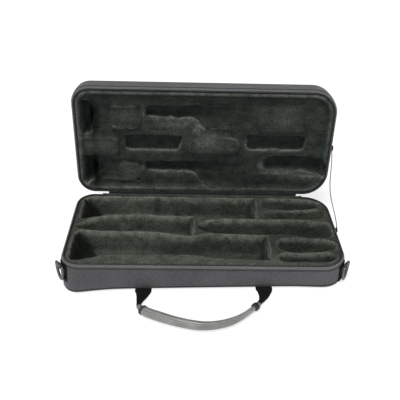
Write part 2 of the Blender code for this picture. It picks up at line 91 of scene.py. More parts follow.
def underside(x):
    """The flat underside of the base, seen from the sloping parting plane."""
    return -(BASE_HEIGHT - x * math.sin(SLOPE)) / math.cos(SLOPE)


FLOORS = {"base": underside, "lid": lambda x: -LID_HEIGHT}


# --- camera ---


CAMERA_PLACE = (-0.0137, -0.8215, 0.6818)
CAMERA_ANGLES = (34.64, 0.50, -0.48)  # down, to the right and rolled, in degrees
CAMERA_LENS = 49.87


def make_camera():
    pitch, yaw, roll = (math.radians(a) for a in CAMERA_ANGLES)
    forward = Vector((math.sin(yaw) * math.cos(pitch), math.cos(yaw) * math.cos(pitch), -math.sin(pitch)))
    level = Vector((math.cos(yaw), -math.sin(yaw), 0))
    upright = level.cross(forward)
    right = level * math.cos(roll) + upright * math.sin(roll)
    up = upright * math.cos(roll) - level * math.sin(roll)
    data = bpy.data.cameras.new("camera")
    data.sensor_width = 36
    data.lens = CAMERA_LENS
    data.clip_start, data.clip_end = 0.02, 30
    camera = bpy.data.objects.new("camera", data)
    bpy.context.scene.collection.objects.link(camera)
    turn = Matrix((right, up, -forward)).transposed().to_4x4()
    camera.matrix_world = Matrix.Translation(CAMERA_PLACE) @ turn
    bpy.context.scene.camera = camera


# --- materials ---


class Paint:
    """A node material under construction."""

    def __init__(self, name):
        self.material = bpy.data.materials.new(name)
        self.material.use_nodes = True
        self.tree = self.material.node_tree
        self.shader = self.tree.nodes["Principled BSDF"]
        self.place = self.node("TexCoord", {}).outputs["Object"]

    def node(self, kind, values, **settings):
        """A new node. In values a socket is linked, and anything else is a constant."""
        made = self.tree.nodes.new("ShaderNode" + kind)
        for key, value in settings.items():
            setattr(made, key, value)
        for key, value in values.items():
            if isinstance(value, bpy.types.NodeSocket):
                self.tree.links.new(value, made.inputs[key])
            else:
                made.inputs[key].default_value = value
        return made

    def math(self, operation, a, b=0.0, c=0.0):
        return self.node("Math", {0: a, 1: b, 2: c}, operation=operation).outputs[0]

    def noise(self, scale, detail=2.0, stretch=None):
        """Noise with features of about 1/scale metres, from 0 to 1."""
        place = self.place
        if stretch:
            place = self.node("VectorMath", {0: place, 1: stretch}, operation="MULTIPLY").outputs[0]
        return self.node("TexNoise", {"Vector": place, "Scale": scale, "Detail": detail}).outputs["Fac"]

    def along(self, direction, pitch):
        """A wave from -1 to 1 that repeats every pitch metres along a direction."""
        distance = self.node("VectorMath", {0: self.place, 1: direction}, operation="DOT_PRODUCT").outputs["Value"]
        return self.math("SINE", self.math("MULTIPLY", distance, math.tau / pitch))

    def spread(self, value, low, high, to_low=0.0, to_high=1.0):
        values = {"Value": value, "From Min": low, "From Max": high, "To Min": to_low, "To Max": to_high}
        return self.node("MapRange", values).outputs[0]

    def mix(self, factor, a, b):
        def colour(value):
            return value if isinstance(value, bpy.types.NodeSocket) else (*value, 1)

        made = self.node("Mix", {0: factor, 6: colour(a), 7: colour(b)}, data_type="RGBA")
        return made.outputs[2]

    def attribute(self, name):
        return self.node("Attribute", {}, attribute_name=name).outputs["Fac"]

    def set(self, **values):
        for key, value in values.items():
            socket = self.shader.inputs[key.replace("_", " ")]
            if isinstance(value, bpy.types.NodeSocket):
                self.tree.links.new(value, socket)
            else:
                socket.default_value = (*value, 1) if isinstance(value, tuple) and len(value) == 3 else value

    def bump(self, *layers):
        """Bumps on top of each other, each (height socket, strength, depth in metres)."""
        normal = None
        for height, strength, depth in layers:
            values = {"Height": height, "Strength": strength, "Distance": depth}
            if normal:
                values["Normal"] = normal
            normal = self.node("Bump", values).outputs["Normal"]
        self.tree.links.new(normal, self.shader.inputs["Normal"])


def woven(name, dark, light, pitch, across, up, roughness=0.85, sheen=0.16):
    """Plain-woven nylon whose threads run along two directions."""
    paint = Paint(name)
    threads = paint.math("MULTIPLY", paint.along(across, pitch), paint.along(up, pitch))
    wear = paint.spread(paint.noise(14, 4), 0.3, 0.7)
    slub = paint.spread(paint.noise(380, 3), 0.35, 0.65)
    shade = paint.math("MULTIPLY_ADD", threads, 0.16, paint.math("MULTIPLY_ADD", wear, 0.30, 0.20))
    shade = paint.math("MULTIPLY_ADD", slub, 0.34, shade)
    paint.set(Base_Color=paint.mix(shade, dark, light),
              Roughness=paint.spread(wear, 0, 1, roughness - 0.06, roughness + 0.06),
              Sheen_Weight=sheen, Sheen_Roughness=0.5, Specular_IOR_Level=0.12)
    paint.bump((paint.noise(45, 3), 0.25, 0.0012), (slub, 0.3, 0.0004), (threads, 0.6, pitch * 0.2))
    return paint.material


def plush(name, shade_colour, base, light, pale):
    """Short brushed pile, finely mottled all over, with painted shade in the hollows and painted highlight along
    the crests.
    """
    paint = Paint(name)
    brushed = paint.noise(48, 6, (1.0, 1.0, 1.3))
    tufts = paint.noise(560, 2, (1.0, 0.8, 0.8))
    patch = paint.spread(brushed, 0.34, 0.66)
    fuzz = paint.spread(tufts, 0.36, 0.66)
    shade = paint.math("MULTIPLY_ADD", patch, 0.40, paint.math("MULTIPLY", fuzz, 0.62))
    colour = paint.mix(shade, base, light)
    # Painted highlight along the crests, broken up by the pile, then painted shade where the mesh marks it.
    highlight_mask = paint.math("MULTIPLY", paint.attribute("crest_highlight"), paint.spread(tufts, 0.34, 0.62, 0.35, 1.0))
    highlight_mask = paint.math("MULTIPLY", highlight_mask, paint.spread(paint.noise(75, 2), 0.38, 0.58, 0.45, 1.0))
    colour = paint.mix(highlight_mask, colour, pale)
    colour = paint.mix(paint.attribute("hollow"), colour, shade_colour)
    paint.set(Base_Color=colour, Roughness=0.95, Sheen_Weight=0.08, Sheen_Roughness=0.4,
              Sheen_Tint=(0.75, 0.80, 0.72, 1.0), Specular_IOR_Level=0.08)
    paint.bump((brushed, 0.7, 0.0022), (tufts, 0.7, 0.0009))
    return paint.material


def smooth_metal(name, colour, roughness):
    paint = Paint(name)
    rubbed = paint.noise(160, 3)
    paint.set(Base_Color=paint.mix(rubbed, tuple(c * 0.8 for c in colour), colour), Metallic=1.0,
              Roughness=paint.spread(rubbed, 0.3, 0.7, roughness * 0.7, roughness * 1.4))
    paint.bump((paint.noise(500, 2), 0.08, 0.0002))
    return paint.material


def leather(name, dark, light):
    paint = Paint(name)
    grain = paint.node("TexVoronoi", {"Vector": paint.place, "Scale": 900.0}).outputs["Distance"]
    wear = paint.noise(30, 4)
    shade = paint.spread(wear, 0.3, 0.7)
    paint.set(Base_Color=paint.mix(shade, dark, light), Roughness=paint.spread(wear, 0.3, 0.7, 0.32, 0.44),
              Coat_Weight=0.35, Coat_Roughness=0.28)
    paint.bump((paint.noise(110, 3), 0.2, 0.0008), (grain, 0.35, 0.0003))
    return paint.material


def plain(name, dark, light, roughness, scale, bump=0.3):
    """Moulded or sewn stuff with no weave to see: mottled in colour and slightly uneven."""
    paint = Paint(name)
    mottle = paint.noise(scale, 3)
    paint.set(Base_Color=paint.mix(mottle, dark, light),
              Roughness=paint.spread(mottle, 0.3, 0.7, roughness - 0.05, roughness + 0.05))
    paint.bump((mottle, bump, 0.0004))
    return paint.material


def floor_paper():
    """Pale paper that glows faintly, so that it reads as pure white."""
    paint = Paint("floor_paper")
    paint.set(Base_Color=(0.36, 0.36, 0.36), Roughness=0.9, Emission_Color=(1.0, 1.0, 1.0),
              Emission_Strength=0.72)
    return paint.material


X, Y, Z, XY = (1, 0, 0), (0, 1, 0), (0, 0, 1), (1, 1, 0)
LID_UP = (0, math.sin(LID_LEAN), math.cos(LID_LEAN))
LID_OUT = (0, math.cos(LID_LEAN), -math.sin(LID_LEAN))


PAINTS = {}  # name: (material, slot); the board and the floor belong to no slot


def make_materials():
    dark, light = (0.056, 0.056, 0.061), (0.140, 0.138, 0.147)
    tape_dark, tape_light = (0.085, 0.086, 0.088), (0.155, 0.156, 0.158)
    black, black_light = (0.003, 0.003, 0.003), (0.012, 0.012, 0.013)
    lid_round = tuple(a + b for a, b in zip(X, LID_UP))
    PAINTS.update({
        # The base's band is darker than the lid's band of the same nylon: painted shade on the base's front band.
        "base_band": (woven("nylon_base_band", (0.040, 0.040, 0.044), (0.126, 0.125, 0.131), 0.0011, XY,
                            Z), "cover_cloth"),
        "base_panel": (woven("nylon_base_panel", dark, light, 0.0011, X, Y), "cover_cloth"),
        "lid_band": (woven("nylon_lid_band", dark, light, 0.0011, lid_round, LID_OUT), "cover_cloth"),
        "lid_panel": (woven("nylon_lid_panel", dark, light, 0.0011, X, LID_UP), "cover_cloth"),
        "base_tape": (woven("tape_base", tape_dark, tape_light, 0.0007, XY, Z), "zip_tape"),
        "lid_tape": (woven("tape_lid", tape_dark, tape_light, 0.0007, lid_round, LID_OUT), "zip_tape"),
        "hinge": (woven("nylon_hinge", black, black_light, 0.0010, X, (0, 1, 1)), "cover_cloth"),
        "piping": (plain("piping_cloth", (0.018, 0.018, 0.02), (0.05, 0.05, 0.055), 0.7, 500), "piping"),
        "thread": (plain("sewing_thread", (0.012, 0.012, 0.014), (0.03, 0.03, 0.034), 0.6, 900), "piping"),
        "coil": (plain("zip_coil_nylon", (0.006, 0.006, 0.007), (0.018, 0.018, 0.02), 0.38, 300, 0.1), "zip_coil"),
        "board": (plain("shell_board", (0.03, 0.03, 0.03), (0.06, 0.06, 0.06), 0.75, 120), None),
        # The lid's plush is darker than the base's: partly a different nap, partly painted shade on the upright
        # lid.
        "base_plush": (plush("plush_base", (0.003, 0.004, 0.003), (0.013, 0.016, 0.012), (0.073, 0.080, 0.066),
                             (0.160, 0.170, 0.143)), "plush"),
        "lid_plush": (plush("plush_lid", (0.002, 0.003, 0.002), (0.007, 0.009, 0.008), (0.046, 0.055, 0.048),
                            (0.175, 0.195, 0.175)), "plush"),
        "webbing": (woven("handle_webbing", black, black_light, 0.0016, XY, (1, -1, 0.4), 0.8, 0.0), "webbing"),
        "patch": (woven("patch_webbing", black, black_light, 0.0014, XY, Z, 0.7, 0.0), "webbing"),
        "leather": (leather("grip_leather", (0.120, 0.123, 0.115), (0.275, 0.28, 0.266)), "grip_leather"),
        "leather_rough": (leather("neck_leather", (0.11, 0.113, 0.11), (0.22, 0.225, 0.22)), "grip_leather"),
        "grip_thread": (plain("grip_thread", (0.13, 0.13, 0.13), (0.2, 0.2, 0.2), 0.6, 900), "grip_leather"),
        "collar": (plain("collar_rubber", (0.006, 0.006, 0.007), (0.02, 0.02, 0.022), 0.5, 300), "piping"),
        "metal": (smooth_metal("polished_steel", (0.155, 0.155, 0.16), 0.42), "ring_metal"),
        "cord": (woven("stay_braid", (0.10, 0.10, 0.10), (0.30, 0.30, 0.30), 0.0014, (0, 1, 0.8), (1, 0, 1),
                       0.7), "stay_cord"),
        "floor": (floor_paper(), None),
    })


# --- meshes ---


def new_piece(name, mesh, paint, body, nodes=(), swell=None, slot=None):
    """A finished piece that rides on a CAD body and stands for the CAD nodes named.

    The lid's pieces are placed by TO_LID, the handle's and those that bend between two bodies are built in
    place, and the rest are placed by TO_BASE. swell, where given, shapes the piece before it is placed.
    """
    material, usual_slot = PAINTS[paint]
    mesh.materials.append(material)
    obj = bpy.data.objects.new(name, mesh)
    bpy.context.scene.collection.objects.link(obj)
    if swell:
        swell(obj)
    place = {"lid": TO_LID, "handle": None, None: None}.get(body, TO_BASE)
    if place is not None:
        mesh.transform(place)
    mesh.shade_smooth()
    if body:
        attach(obj, body)
    if nodes:
        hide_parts(*nodes)
    slot = slot or usual_slot
    return obj


def mesh_of(name, points, faces):
    mesh = bpy.data.meshes.new(name)
    mesh.from_pydata([tuple(p) for p in points], [], faces)
    mesh.validate()
    mesh.update()
    return mesh


def add_layer(mesh, key, values):
    """Stores a value for each of a mesh's points, which its material reads by name."""
    layer = mesh.attributes.new(key, "FLOAT", "POINT")
    layer.data.foreach_set("value", np.array(values, np.float32))


def skin(name, rings, closed):
    """A closed surface through equal rings of points, joined into a loop or capped at both ends."""
    count, rows = len(rings[0]), len(rings)
    faces = []
    for r in range(rows if closed else rows - 1):
        a, b = r * count, (r + 1) % rows * count
        for i in range(count):
            j = (i + 1) % count
            faces.append((a + i, a + j, b + j, b + i))
    if not closed:
        faces.append(tuple(reversed(range(count))))
        faces.append(tuple((rows - 1) * count + i for i in range(count)))
    return mesh_of(name, [p for ring in rings for p in ring], faces)


def directions(line, closed=False, normal=Vector((0, 0, 1))):
    """(point, side, up) along a line, with up as near to normal as it can be."""
    last = len(line) - 1
    found = []
    for i, point in enumerate(line):
        before = line[i - 1] if closed else line[max(i - 1, 0)]
        after = line[(i + 1) % len(line)] if closed else line[min(i + 1, last)]
        forward = (after - before).normalized()
        side = forward.cross(normal).normalized()
        found.append((point, side, side.cross(forward)))
    return found


def tube(name, line, radius, sides=8, closed=False, normal=Vector((0, 0, 1))):
    """A tube along a line. radius may be a function of the point's number."""
    rings = []
    for i, (point, side, up) in enumerate(directions(line, closed, normal)):
        reach = radius(i) if callable(radius) else radius
        turns = [math.tau * k / sides for k in range(sides)]
        rings.append([point + side * (reach * math.cos(a)) + up * (reach * math.sin(a)) for a in turns])
    return skin(name, rings, closed)


def merged(name, meshes):
    """Several meshes as one."""
    points, faces = [], []
    for mesh in meshes:
        start = len(points)
        points += [v.co.copy() for v in mesh.vertices]
        faces += [tuple(start + i for i in p.vertices) for p in mesh.polygons]
        bpy.data.meshes.remove(mesh)
    return mesh_of(name, points, faces)


def smooth_line(points, spacing, closed=False):
    """Points every spacing metres along a smooth curve through the given ones."""
    if closed:
        ends = [points[-1]] + list(points) + [points[0], points[1]]
    else:
        ends = [2 * points[0] - points[1]] + list(points) + [2 * points[-1] - points[-2]]
    fine = []
    for a, b, c, d in zip(ends, ends[1:], ends[2:], ends[3:]):
        for step in range(16):
            t = step / 16
            fine.append(0.5 * (2 * b + (c - a) * t + (2 * a - 5 * b + 4 * c - d) * t**2
                               + (3 * b - a - 3 * c + d) * t**3))
    return even_line(fine if closed else fine + [points[-1]], spacing, closed)


def resampled(rows, spacing):
    """Rows that begin with a point's three coordinates, at even steps along the line of those points."""
    rows = np.array(rows)
    length = np.concatenate([[0], np.cumsum(np.linalg.norm(np.diff(rows[:, :3], axis=0), axis=1))])
    at = np.linspace(0, length[-1], max(2, round(length[-1] / spacing)) + 1)
    return np.stack([np.interp(at, length, column) for column in rows.T], 1)


def even_line(line, spacing, closed=False):
    """The same line with points every spacing metres or nearly so."""
    if closed:
        line = line + [line[0]]
    found = [Vector(row) for row in resampled([tuple(p) for p in line], spacing)]
    return found[:-1] if closed else found


def stitches(name, line, pitch, radius, closed=False):
    """Short threads laid end to end along a line, each two thirds of the pitch long."""
    line = even_line(line, pitch / 6, closed)
    threads = [tube(name, line[i:i + 5], radius, sides=4) for i in range(0, len(line) - 4, 6)]
    return merged(name, threads)


def pad_mesh(name, low, high, rounding, uneven=0.0, seed=1):
    """A block with well-rounded edges, from low to high, whose faces may be a little uneven."""
    low, high = Vector(low), Vector(high)
    middle, half = (low + high) / 2, (high - low) / 2
    levels = 9
    rings = []
    for k in range(levels):
        lift = -math.cos(math.pi * k / (levels - 1))
        pinch = rounding * (1 - math.sqrt(max(0.0, 1 - abs(lift)**6)))
        ring = []
        for sx, sy, start in ((1, 1, 0), (-1, 1, 90), (-1, -1, 180), (1, -1, 270)):
            for step in range(5):
                angle = math.radians(start + 22.5 * step)
                x = sx * (half.x - rounding) + (rounding - pinch) * math.cos(angle)
                y = sy * (half.y - rounding) + (rounding - pinch) * math.sin(angle)
                ring.append(middle + Vector((x, y, half.z * lift)))
        rings.append(ring)
    if uneven:
        shake = np.random.default_rng(seed)
        rings = [[p + Vector(shake.uniform(-uneven, uneven, 3)) for p in ring] for ring in rings]
    return skin(name, rings, closed=False)


SIMULATED_FRAMES = 20


def swelling(pressure, cap, sewn):
    """A function that swells an object by cloth simulation.

    Its sewn points stay, sewn being a test of a point, and no other point moves further than cap.
    """
    def swell(obj):
        rest = np.array([v.co for v in obj.data.vertices])
        group = obj.vertex_groups.new(name="sewn")
        group.add([i for i, co in enumerate(rest) if sewn(co)], 1.0, "REPLACE")
        cloth = obj.modifiers.new("cloth", "CLOTH")
        cloth.settings.quality = 4
        cloth.settings.vertex_group_mass = "sewn"
        cloth.settings.use_pressure = True
        cloth.settings.uniform_pressure_force = pressure
        cloth.settings.effector_weights.gravity = 0
        cloth.point_cache.frame_end = SIMULATED_FRAMES
        for number in range(1, SIMULATED_FRAMES + 1):
            bpy.context.scene.frame_set(number)
        shown = obj.evaluated_get(bpy.context.evaluated_depsgraph_get())
        moved = np.array([v.co for v in shown.data.vertices])
        obj.modifiers.remove(cloth)
        obj.vertex_groups.remove(group)
        shift = moved - rest
        length = np.linalg.norm(shift, axis=1, keepdims=True)
        held = rest + shift * np.minimum(1, cap / np.maximum(length, 1e-9))
        obj.data.vertices.foreach_set("co", held.astype(np.float32).reshape(-1))
        obj.data.update()
        bpy.context.scene.frame_set(1)
    return swell


# --- the rounded outline ---

CORNERS = (  # x side, y side, radius, direction of the arc's first point
    (-1, 1, LEFT_RADIUS, 90),
    (-1, -1, LEFT_RADIUS, 180),
    (1, -1, RIGHT_RADIUS, 270),
    (1, 1, RIGHT_RADIUS, 0),
)
SPACING = 0.003


def outline(hinge_side=None):
    """Pairs of (point on the outer outline, outward direction), all round, or over the zip's part of it."""
    found = []
    corners = CORNERS if hinge_side is None or hinge_side > 0 else CORNERS[2:] + CORNERS[:2]
    for x_side, y_side, radius, start in corners:
        centre = Vector((x_side * (HALF_LENGTH - radius), y_side * (HALF_DEPTH - radius), 0))
        for step in range(25):
            angle = math.radians(start + 90 * step / 24)
            out = Vector((math.cos(angle), math.sin(angle), 0))
            found.append((centre + out * radius, out))
    if hinge_side is None:
        found.append(found[0])
    else:
        edge = Vector((0, hinge_side, 0))
        found.insert(0, (Vector((-hinge_side * HINGE_HALF, hinge_side * HALF_DEPTH, 0)), edge))
        found.append((Vector((hinge_side * HINGE_HALF, hinge_side * HALF_DEPTH, 0)), edge))
    even = resampled([(*point, *out) for point, out in found], SPACING)
    if hinge_side is None:
        even = even[:-1]
    return [(Vector(row[:3]), Vector(row[3:]).normalized()) for row in even]


def rim(name, section_at, hinge_side=None):
    """A closed section carried round the outline. section_at gives its (inset, z) points at a point."""
    rings = [
        [point - out * inset + Vector((0, 0, z)) for inset, z in section_at(point)]
        for point, out in outline(hinge_side)
    ]
    return skin(name, rings, closed=hinge_side is None)


def rim_line(inset, z, hinge_side=None):
    """A line round the outline. z may be a function of x."""
    return [
        point - out * inset + Vector((0, 0, z(point.x) if callable(z) else z))
        for point, out in outline(hinge_side)
    ]


def grid_over(inset, step):
    """An even grid over the outline moved in by inset: x, y and how far inside it each point is.

    Points past a rounded corner are moved onto it, towards the corner's centre.
    """
    half_x, half_y = HALF_LENGTH - inset, HALF_DEPTH - inset
    x, y = np.meshgrid(np.linspace(-half_x, half_x, round(2 * half_x / step) + 1),
                       np.linspace(-half_y, half_y, round(2 * half_y / step) + 1), indexing="ij")
    inside = np.minimum(half_x - abs(x), half_y - abs(y))
    for x_side, y_side, radius, _ in CORNERS:
        centre_x, centre_y = x_side * (HALF_LENGTH - radius), y_side * (HALF_DEPTH - radius)
        across, up = (x - centre_x) * x_side, (y - centre_y) * y_side
        reach = np.hypot(across, up)
        corner = (across > 0) & (up > 0)
        inside = np.where(corner, radius - inset - reach, inside)
        past = corner & (reach > radius - inset)
        shrink = (radius - inset) / np.maximum(reach, 1e-9)
        x = np.where(past, centre_x + (x - centre_x) * shrink, x)
        y = np.where(past, centre_y + (y - centre_y) * shrink, y)
    return x, y, inside


def body_over(name, x, y, inside, top, bottom, layers=()):
    """A closed body over such a grid, from the heights in top down to the plane that bottom gives for an x.

    layers are (attribute name, values) for the points of its top.
    """
    rows, columns = x.shape
    number = np.arange(rows * columns).reshape(rows, columns)
    quads = np.stack([number[:-1, :-1], number[1:, :-1], number[1:, 1:], number[:-1, 1:]], -1).reshape(-1, 4)
    outside = (inside < -1e-6).reshape(-1)
    quads = quads[~outside[quads].all(1)]
    used = np.unique(quads)
    renumber = np.full(rows * columns, -1)
    renumber[used] = np.arange(len(used))
    quads = renumber[quads]
    points = np.stack([x, y, top], -1).reshape(-1, 3)[used]
    sides = np.concatenate([quads[:, [k, (k + 1) % 4]] for k in range(4)])
    after = {(a, b) for a, b in sides.tolist()}
    edge = {a: b for a, b in after if (b, a) not in after}
    loop = [min(edge)]
    while edge[loop[-1]] != loop[0]:
        loop.append(edge[loop[-1]])
    foot = len(points) + np.arange(len(loop))
    low = points[loop].copy()
    low[:, 2] = [bottom(value) for value in low[:, 0]]
    faces = quads.tolist()
    for k in range(len(loop)):
        j = (k + 1) % len(loop)
        faces.append((loop[j], loop[k], int(foot[k]), int(foot[j])))
    faces.append(tuple(int(i) for i in reversed(foot)))
    mesh = mesh_of(name, np.concatenate([points, low]).tolist(), faces)
    for key, values in layers:
        add_layer(mesh, key, np.concatenate([values.reshape(-1)[used], np.zeros(len(loop))]))
    return mesh


# --- plush linings ---

GRID_STEP = 0.0015
FUZZ = 0.00032  # how far the pile's surface is uneven


def neighbours(values):
    padded = np.pad(values, 1, mode="edge")
    return (padded[:-2, 1:-1] + padded[2:, 1:-1] + padded[1:-1, :-2] + padded[1:-1, 2:]) / 4


class Relief:
    """Depth of a lining below the parting plane over a grid, pressed recess by recess."""

    def __init__(self, seed):
        self.x, self.y, self.inside = grid_over(INSERT_INSET, GRID_STEP)
        self.random = np.random.default_rng(seed)
        waver = self.random.standard_normal(self.x.shape)
        for _ in range(30):
            waver = neighbours(waver)
        self.waver = 0.0008 * waver / waver.std()
        self.depth = np.full_like(self.x, LINING_TOP)
        self.hollow = np.zeros_like(self.x)
        self.pale = np.zeros_like(self.x)

    def distance(self, corners):
        """How far each point is inside a polygon whose edge wavers a little; negative outside."""
        points = np.array([tuple(p)[:2] for p in corners])
        best = np.full(self.x.shape, 1e9)
        within = np.zeros(self.x.shape, bool)
        for (x0, y0), (x1, y1) in zip(points, np.roll(points, -1, axis=0)):
            ex, ey = x1 - x0, y1 - y0
            t = np.clip(((self.x - x0) * ex + (self.y - y0) * ey) / (ex * ex + ey * ey), 0, 1)
            best = np.minimum(best, np.hypot(self.x - x0 - t * ex, self.y - y0 - t * ey))
            if y1 != y0:
                crosses = (y0 > self.y) != (y1 > self.y)
                within ^= crosses & (self.x < x0 + (self.y - y0) * ex / ey)
        return np.where(within, best, -best) + self.waver

    def press(self, corners, depth, wall, shoulder=0.0018, dark=0.0, edge=0.0):
        """Press a recess in, to a depth that may be an array.

        wall is the width of its sloping side and shoulder the rounding at its top. dark paints shade on the floor,
        and edge paints a line of shade just inside the rim.
        """
        inside = self.distance(corners)
        share = np.clip((inside + shoulder) / (wall + shoulder), 0, 1)
        # Quick at the top and slow at the foot, so that the floor is dished.
        share = np.clip(share**1.5 * (1 + 1.5 * (1 - share)), 0, 1)
        self.depth = np.maximum(self.depth, depth * share)
        self.hollow = np.maximum(self.hollow, dark * np.clip((inside - 0.001) / 0.006, 0, 1))
        self.hollow = np.maximum(self.hollow, edge * np.exp(-((inside - 0.0022) / 0.0019) ** 2))

    def raise_up(self, corners, height, wall):
        share = np.clip(self.distance(corners) / wall + 0.5, 0, 1)
        self.depth -= height * share * share * (3 - 2 * share)

    def brush(self, x, y, wide, high, amount, shade=False):
        """A soft oval patch of painted highlight, in places also standing for brushed pile, or, as shade, of
        painted shade. Sizes are in millimetres.
        """
        near = amount * np.exp(-((self.x / MM - x) / wide) ** 2 - ((self.y / MM - y) / high) ** 2)
        if shade:
            self.hollow = np.maximum(self.hollow, near)
        else:
            self.pale = np.maximum(self.pale, near)

    def darken_end(self, top, foot, low_y, high_y):
        """Deep shade at the low-x end of a lane, reaching from x = top at the rim to x = foot at the floor."""
        limit = (top + (foot - top) * np.clip(self.depth / 0.040, 0, 1)) * MM
        inside = (self.y > low_y * MM) & (self.y < high_y * MM) & (self.depth > 0.004)
        shade = 0.85 * np.clip((limit - self.x) / 0.014, 0, 1)
        self.hollow = np.maximum(self.hollow, np.where(inside, shade, 0))

    def mesh(self, name, floor, lip_gain):
        """The lining and its foam as a closed body, with attributes for painted highlight on its crests and painted
        shade in its hollows.

        lip_gain says how much more painted highlight the crests that face +Y get than the others, as light from
        above would give them.
        """
        self.depth = np.maximum(self.depth, LINING_TOP)
        for _ in range(3):
            self.depth = (self.depth + neighbours(self.depth)) / 2
        fuzz = neighbours(self.random.standard_normal(self.depth.shape))
        depth = self.depth + 0.0016 * np.clip(1 - self.inside / 0.004, 0, 1) ** 2 + FUZZ * fuzz
        wide = self.depth.copy()
        for _ in range(5):
            wide = neighbours(wide)
        bend = wide - self.depth
        rise = np.gradient(wide, axis=1) / np.maximum(np.gradient(self.y, axis=1), GRID_STEP / 4)
        # Painted highlight on the crests, more on those facing +Y, joined with the patches of painted highlight.
        lit = np.clip(1 + lip_gain * (rise - 0.8), 0.25, 1)
        crest_highlight = np.maximum(lit * np.clip(bend / 0.0009 - 0.45, 0, 1), self.pale)
        # Painted shade at the foot of the walls, joined with the painted shade already laid.
        foot = np.clip(-bend / 0.0022 - 0.2, 0, 1)
        layers = (("crest_highlight", crest_highlight), ("hollow", np.maximum(self.hollow, 0.45 * foot)))
        return body_over(name, self.x, self.y, self.inside, -depth, floor, layers)


def bends(points):
    """A closed outline of millimetre points, run smoothly through them."""
    return smooth_line([Vector((*p, 0)) * MM for p in points], 0.003, closed=True)


def lane(stations):
    """An outline from stations of (x, near edge, far edge), in millimetres."""
    edges = [(x, low) for x, low, _ in stations] + [(x, high) for x, _, high in reversed(stations)]
    return [Vector((*p, 0)) * MM for p in edges]


BASE_RECESSES = (  # kind of outline, depth, width of the sloping side, outline in millimetres
    (lane, 0.0362, 0.011, (  # back lane with a bell pit
        (-233, 26, 88), (-224, 27, 95), (-198, 34.5, 97), (-179, 40, 97), (-122, 42, 97), (-60, 39.5, 97),
        (-7, 36, 97), (50, 33, 97), (103, 31, 97))),
    (bends, 0.0435, 0.009, (  # back bell pit
        (-230, 30), (-214, 33), (-195, 44), (-189, 60), (-192, 84), (-210, 92), (-229, 86))),
    (bends, 0.0275, 0.010, (  # barrel slot
        (118, 74), (131, 64), (165, 62.5), (205, 65), (232, 75), (231, 83), (214, 93), (180, 97), (131, 97),
        (118, 89))),
    (bends, 0.0220, 0.014, (  # mouthpiece slot
        (118, 39), (131, 32), (165, 31), (205, 31), (232, 37), (238, 48), (233, 61), (200, 58), (165, 56),
        (131, 55.5), (118, 49))),
    (lane, 0.0325, 0.011, (  # middle lane, left
        (-237, 0, 3), (-223, -5, 13), (-209, -8.5, 22), (-179, -10.5, 32), (-122, -11.5, 36), (-81, -13, 35),
        (-44, -20.5, 33), (-20.5, -22.5, 31))),
    (bends, 0.0325, 0.011, (  # middle lane, right
        (-9, 4), (2, -9), (20, -13), (48, -15.5), (103, -17.5), (159, -16.5), (185, -24), (228, -24), (239, -12),
        (239, 6), (230, 19), (200, 23.5), (159, 25), (103, 25), (48, 25), (20, 23), (2, 16))),
    (lane, 0.0362, 0.011, (  # front lane
        (-236, -84, -22), (-229, -93, -15), (-214, -92, -14.5), (-198, -86, -15.5), (-182, -80.5, -17),
        (-150, -77, -18), (-113, -76, -18.5), (-81, -76, -20), (-44, -76.5, -28), (-24, -77, -29.5), (2, -81, -22),
        (44, -86, -23), (80, -87.5, -24), (114.5, -88, -25))),
    (bends, 0.0435, 0.009, (  # front bell pit
        (-233, -84), (-214, -83), (-195, -72), (-189, -56), (-191, -34), (-210, -22), (-231, -26))),
    (bends, 0.0275, 0.010, (  # barrel slot
        (133, -48), (142, -62), (169, -67.5), (205, -65), (230, -60), (239, -50), (233, -37), (205, -31),
        (169, -29.5), (142, -32))),
    (bends, 0.0275, 0.009, (  # mouthpiece slot
        (131, -82), (139, -91), (169, -92), (205, -92), (221, -90), (231, -80), (222, -70), (205, -72), (169, -75),
        (139, -73))),
)
BASE_SHADE = (  # patches of painted shade: x, y, half-width and half-height in millimetres, and strength
    (-90, 92, 8, 8, 0.6), (-52, 84, 8, 7, 0.55), (-123, 30, 9, 6, 0.5), (-30, -40, 30, 14, 0.3),
    (60, 60, 30, 20, 0.35), (95, 70, 8, 26, 0.8), (107, -55, 9, 24, 0.8), (-29, 5, 6, 20, 0.5),
    (150, -5, 40, 20, 0.4), (200, 0, 30, 22, 0.5), (124, 80, 8, 8, 0.8), (138, -50, 8, 8, 0.8), (-4, 4, 12, 9, 0.8),
    (-222, 3, 16, 9, 0.7), (138, -85, 8, 6, 0.8), (214, 82, 14, 8, 0.6), (222, -80, 10, 8, 0.8),
    (180, 0, 90, 120, 0.30), (10, 104, 110, 8, 0.30), (10, -25, 50, 14, 0.20),
)
# Patches of painted highlight on the lanes' walls, with the same columns as BASE_SHADE.
BASE_HIGHLIGHT = (
    (-130, 91, 70, 9, 0.55), (-130, 30, 70, 9, 0.40), (-125, -23, 75, 9, 0.55), (-165, 62, 30, 30, 0.25),
    (-165, -50, 30, 30, 0.25),
)


def base_relief():
    relief = Relief(3)
    for outline_of, depth, wall, points in BASE_RECESSES:
        relief.press(outline_of(points), depth, wall)
    relief.darken_end(-224, -190, 24, 100)
    relief.darken_end(-222, -190, -99, -14)
    # Painted highlight along the front ledge.
    front = np.clip((-0.070 - relief.y) / 0.010, 0, 1)
    relief.pale = 0.42 * front * np.clip((0.004 - relief.depth) / 0.002, 0, 1)
    for patch in BASE_SHADE:
        relief.brush(*patch, shade=True)
    for patch in BASE_HIGHLIGHT:
        relief.brush(*patch)
    return relief


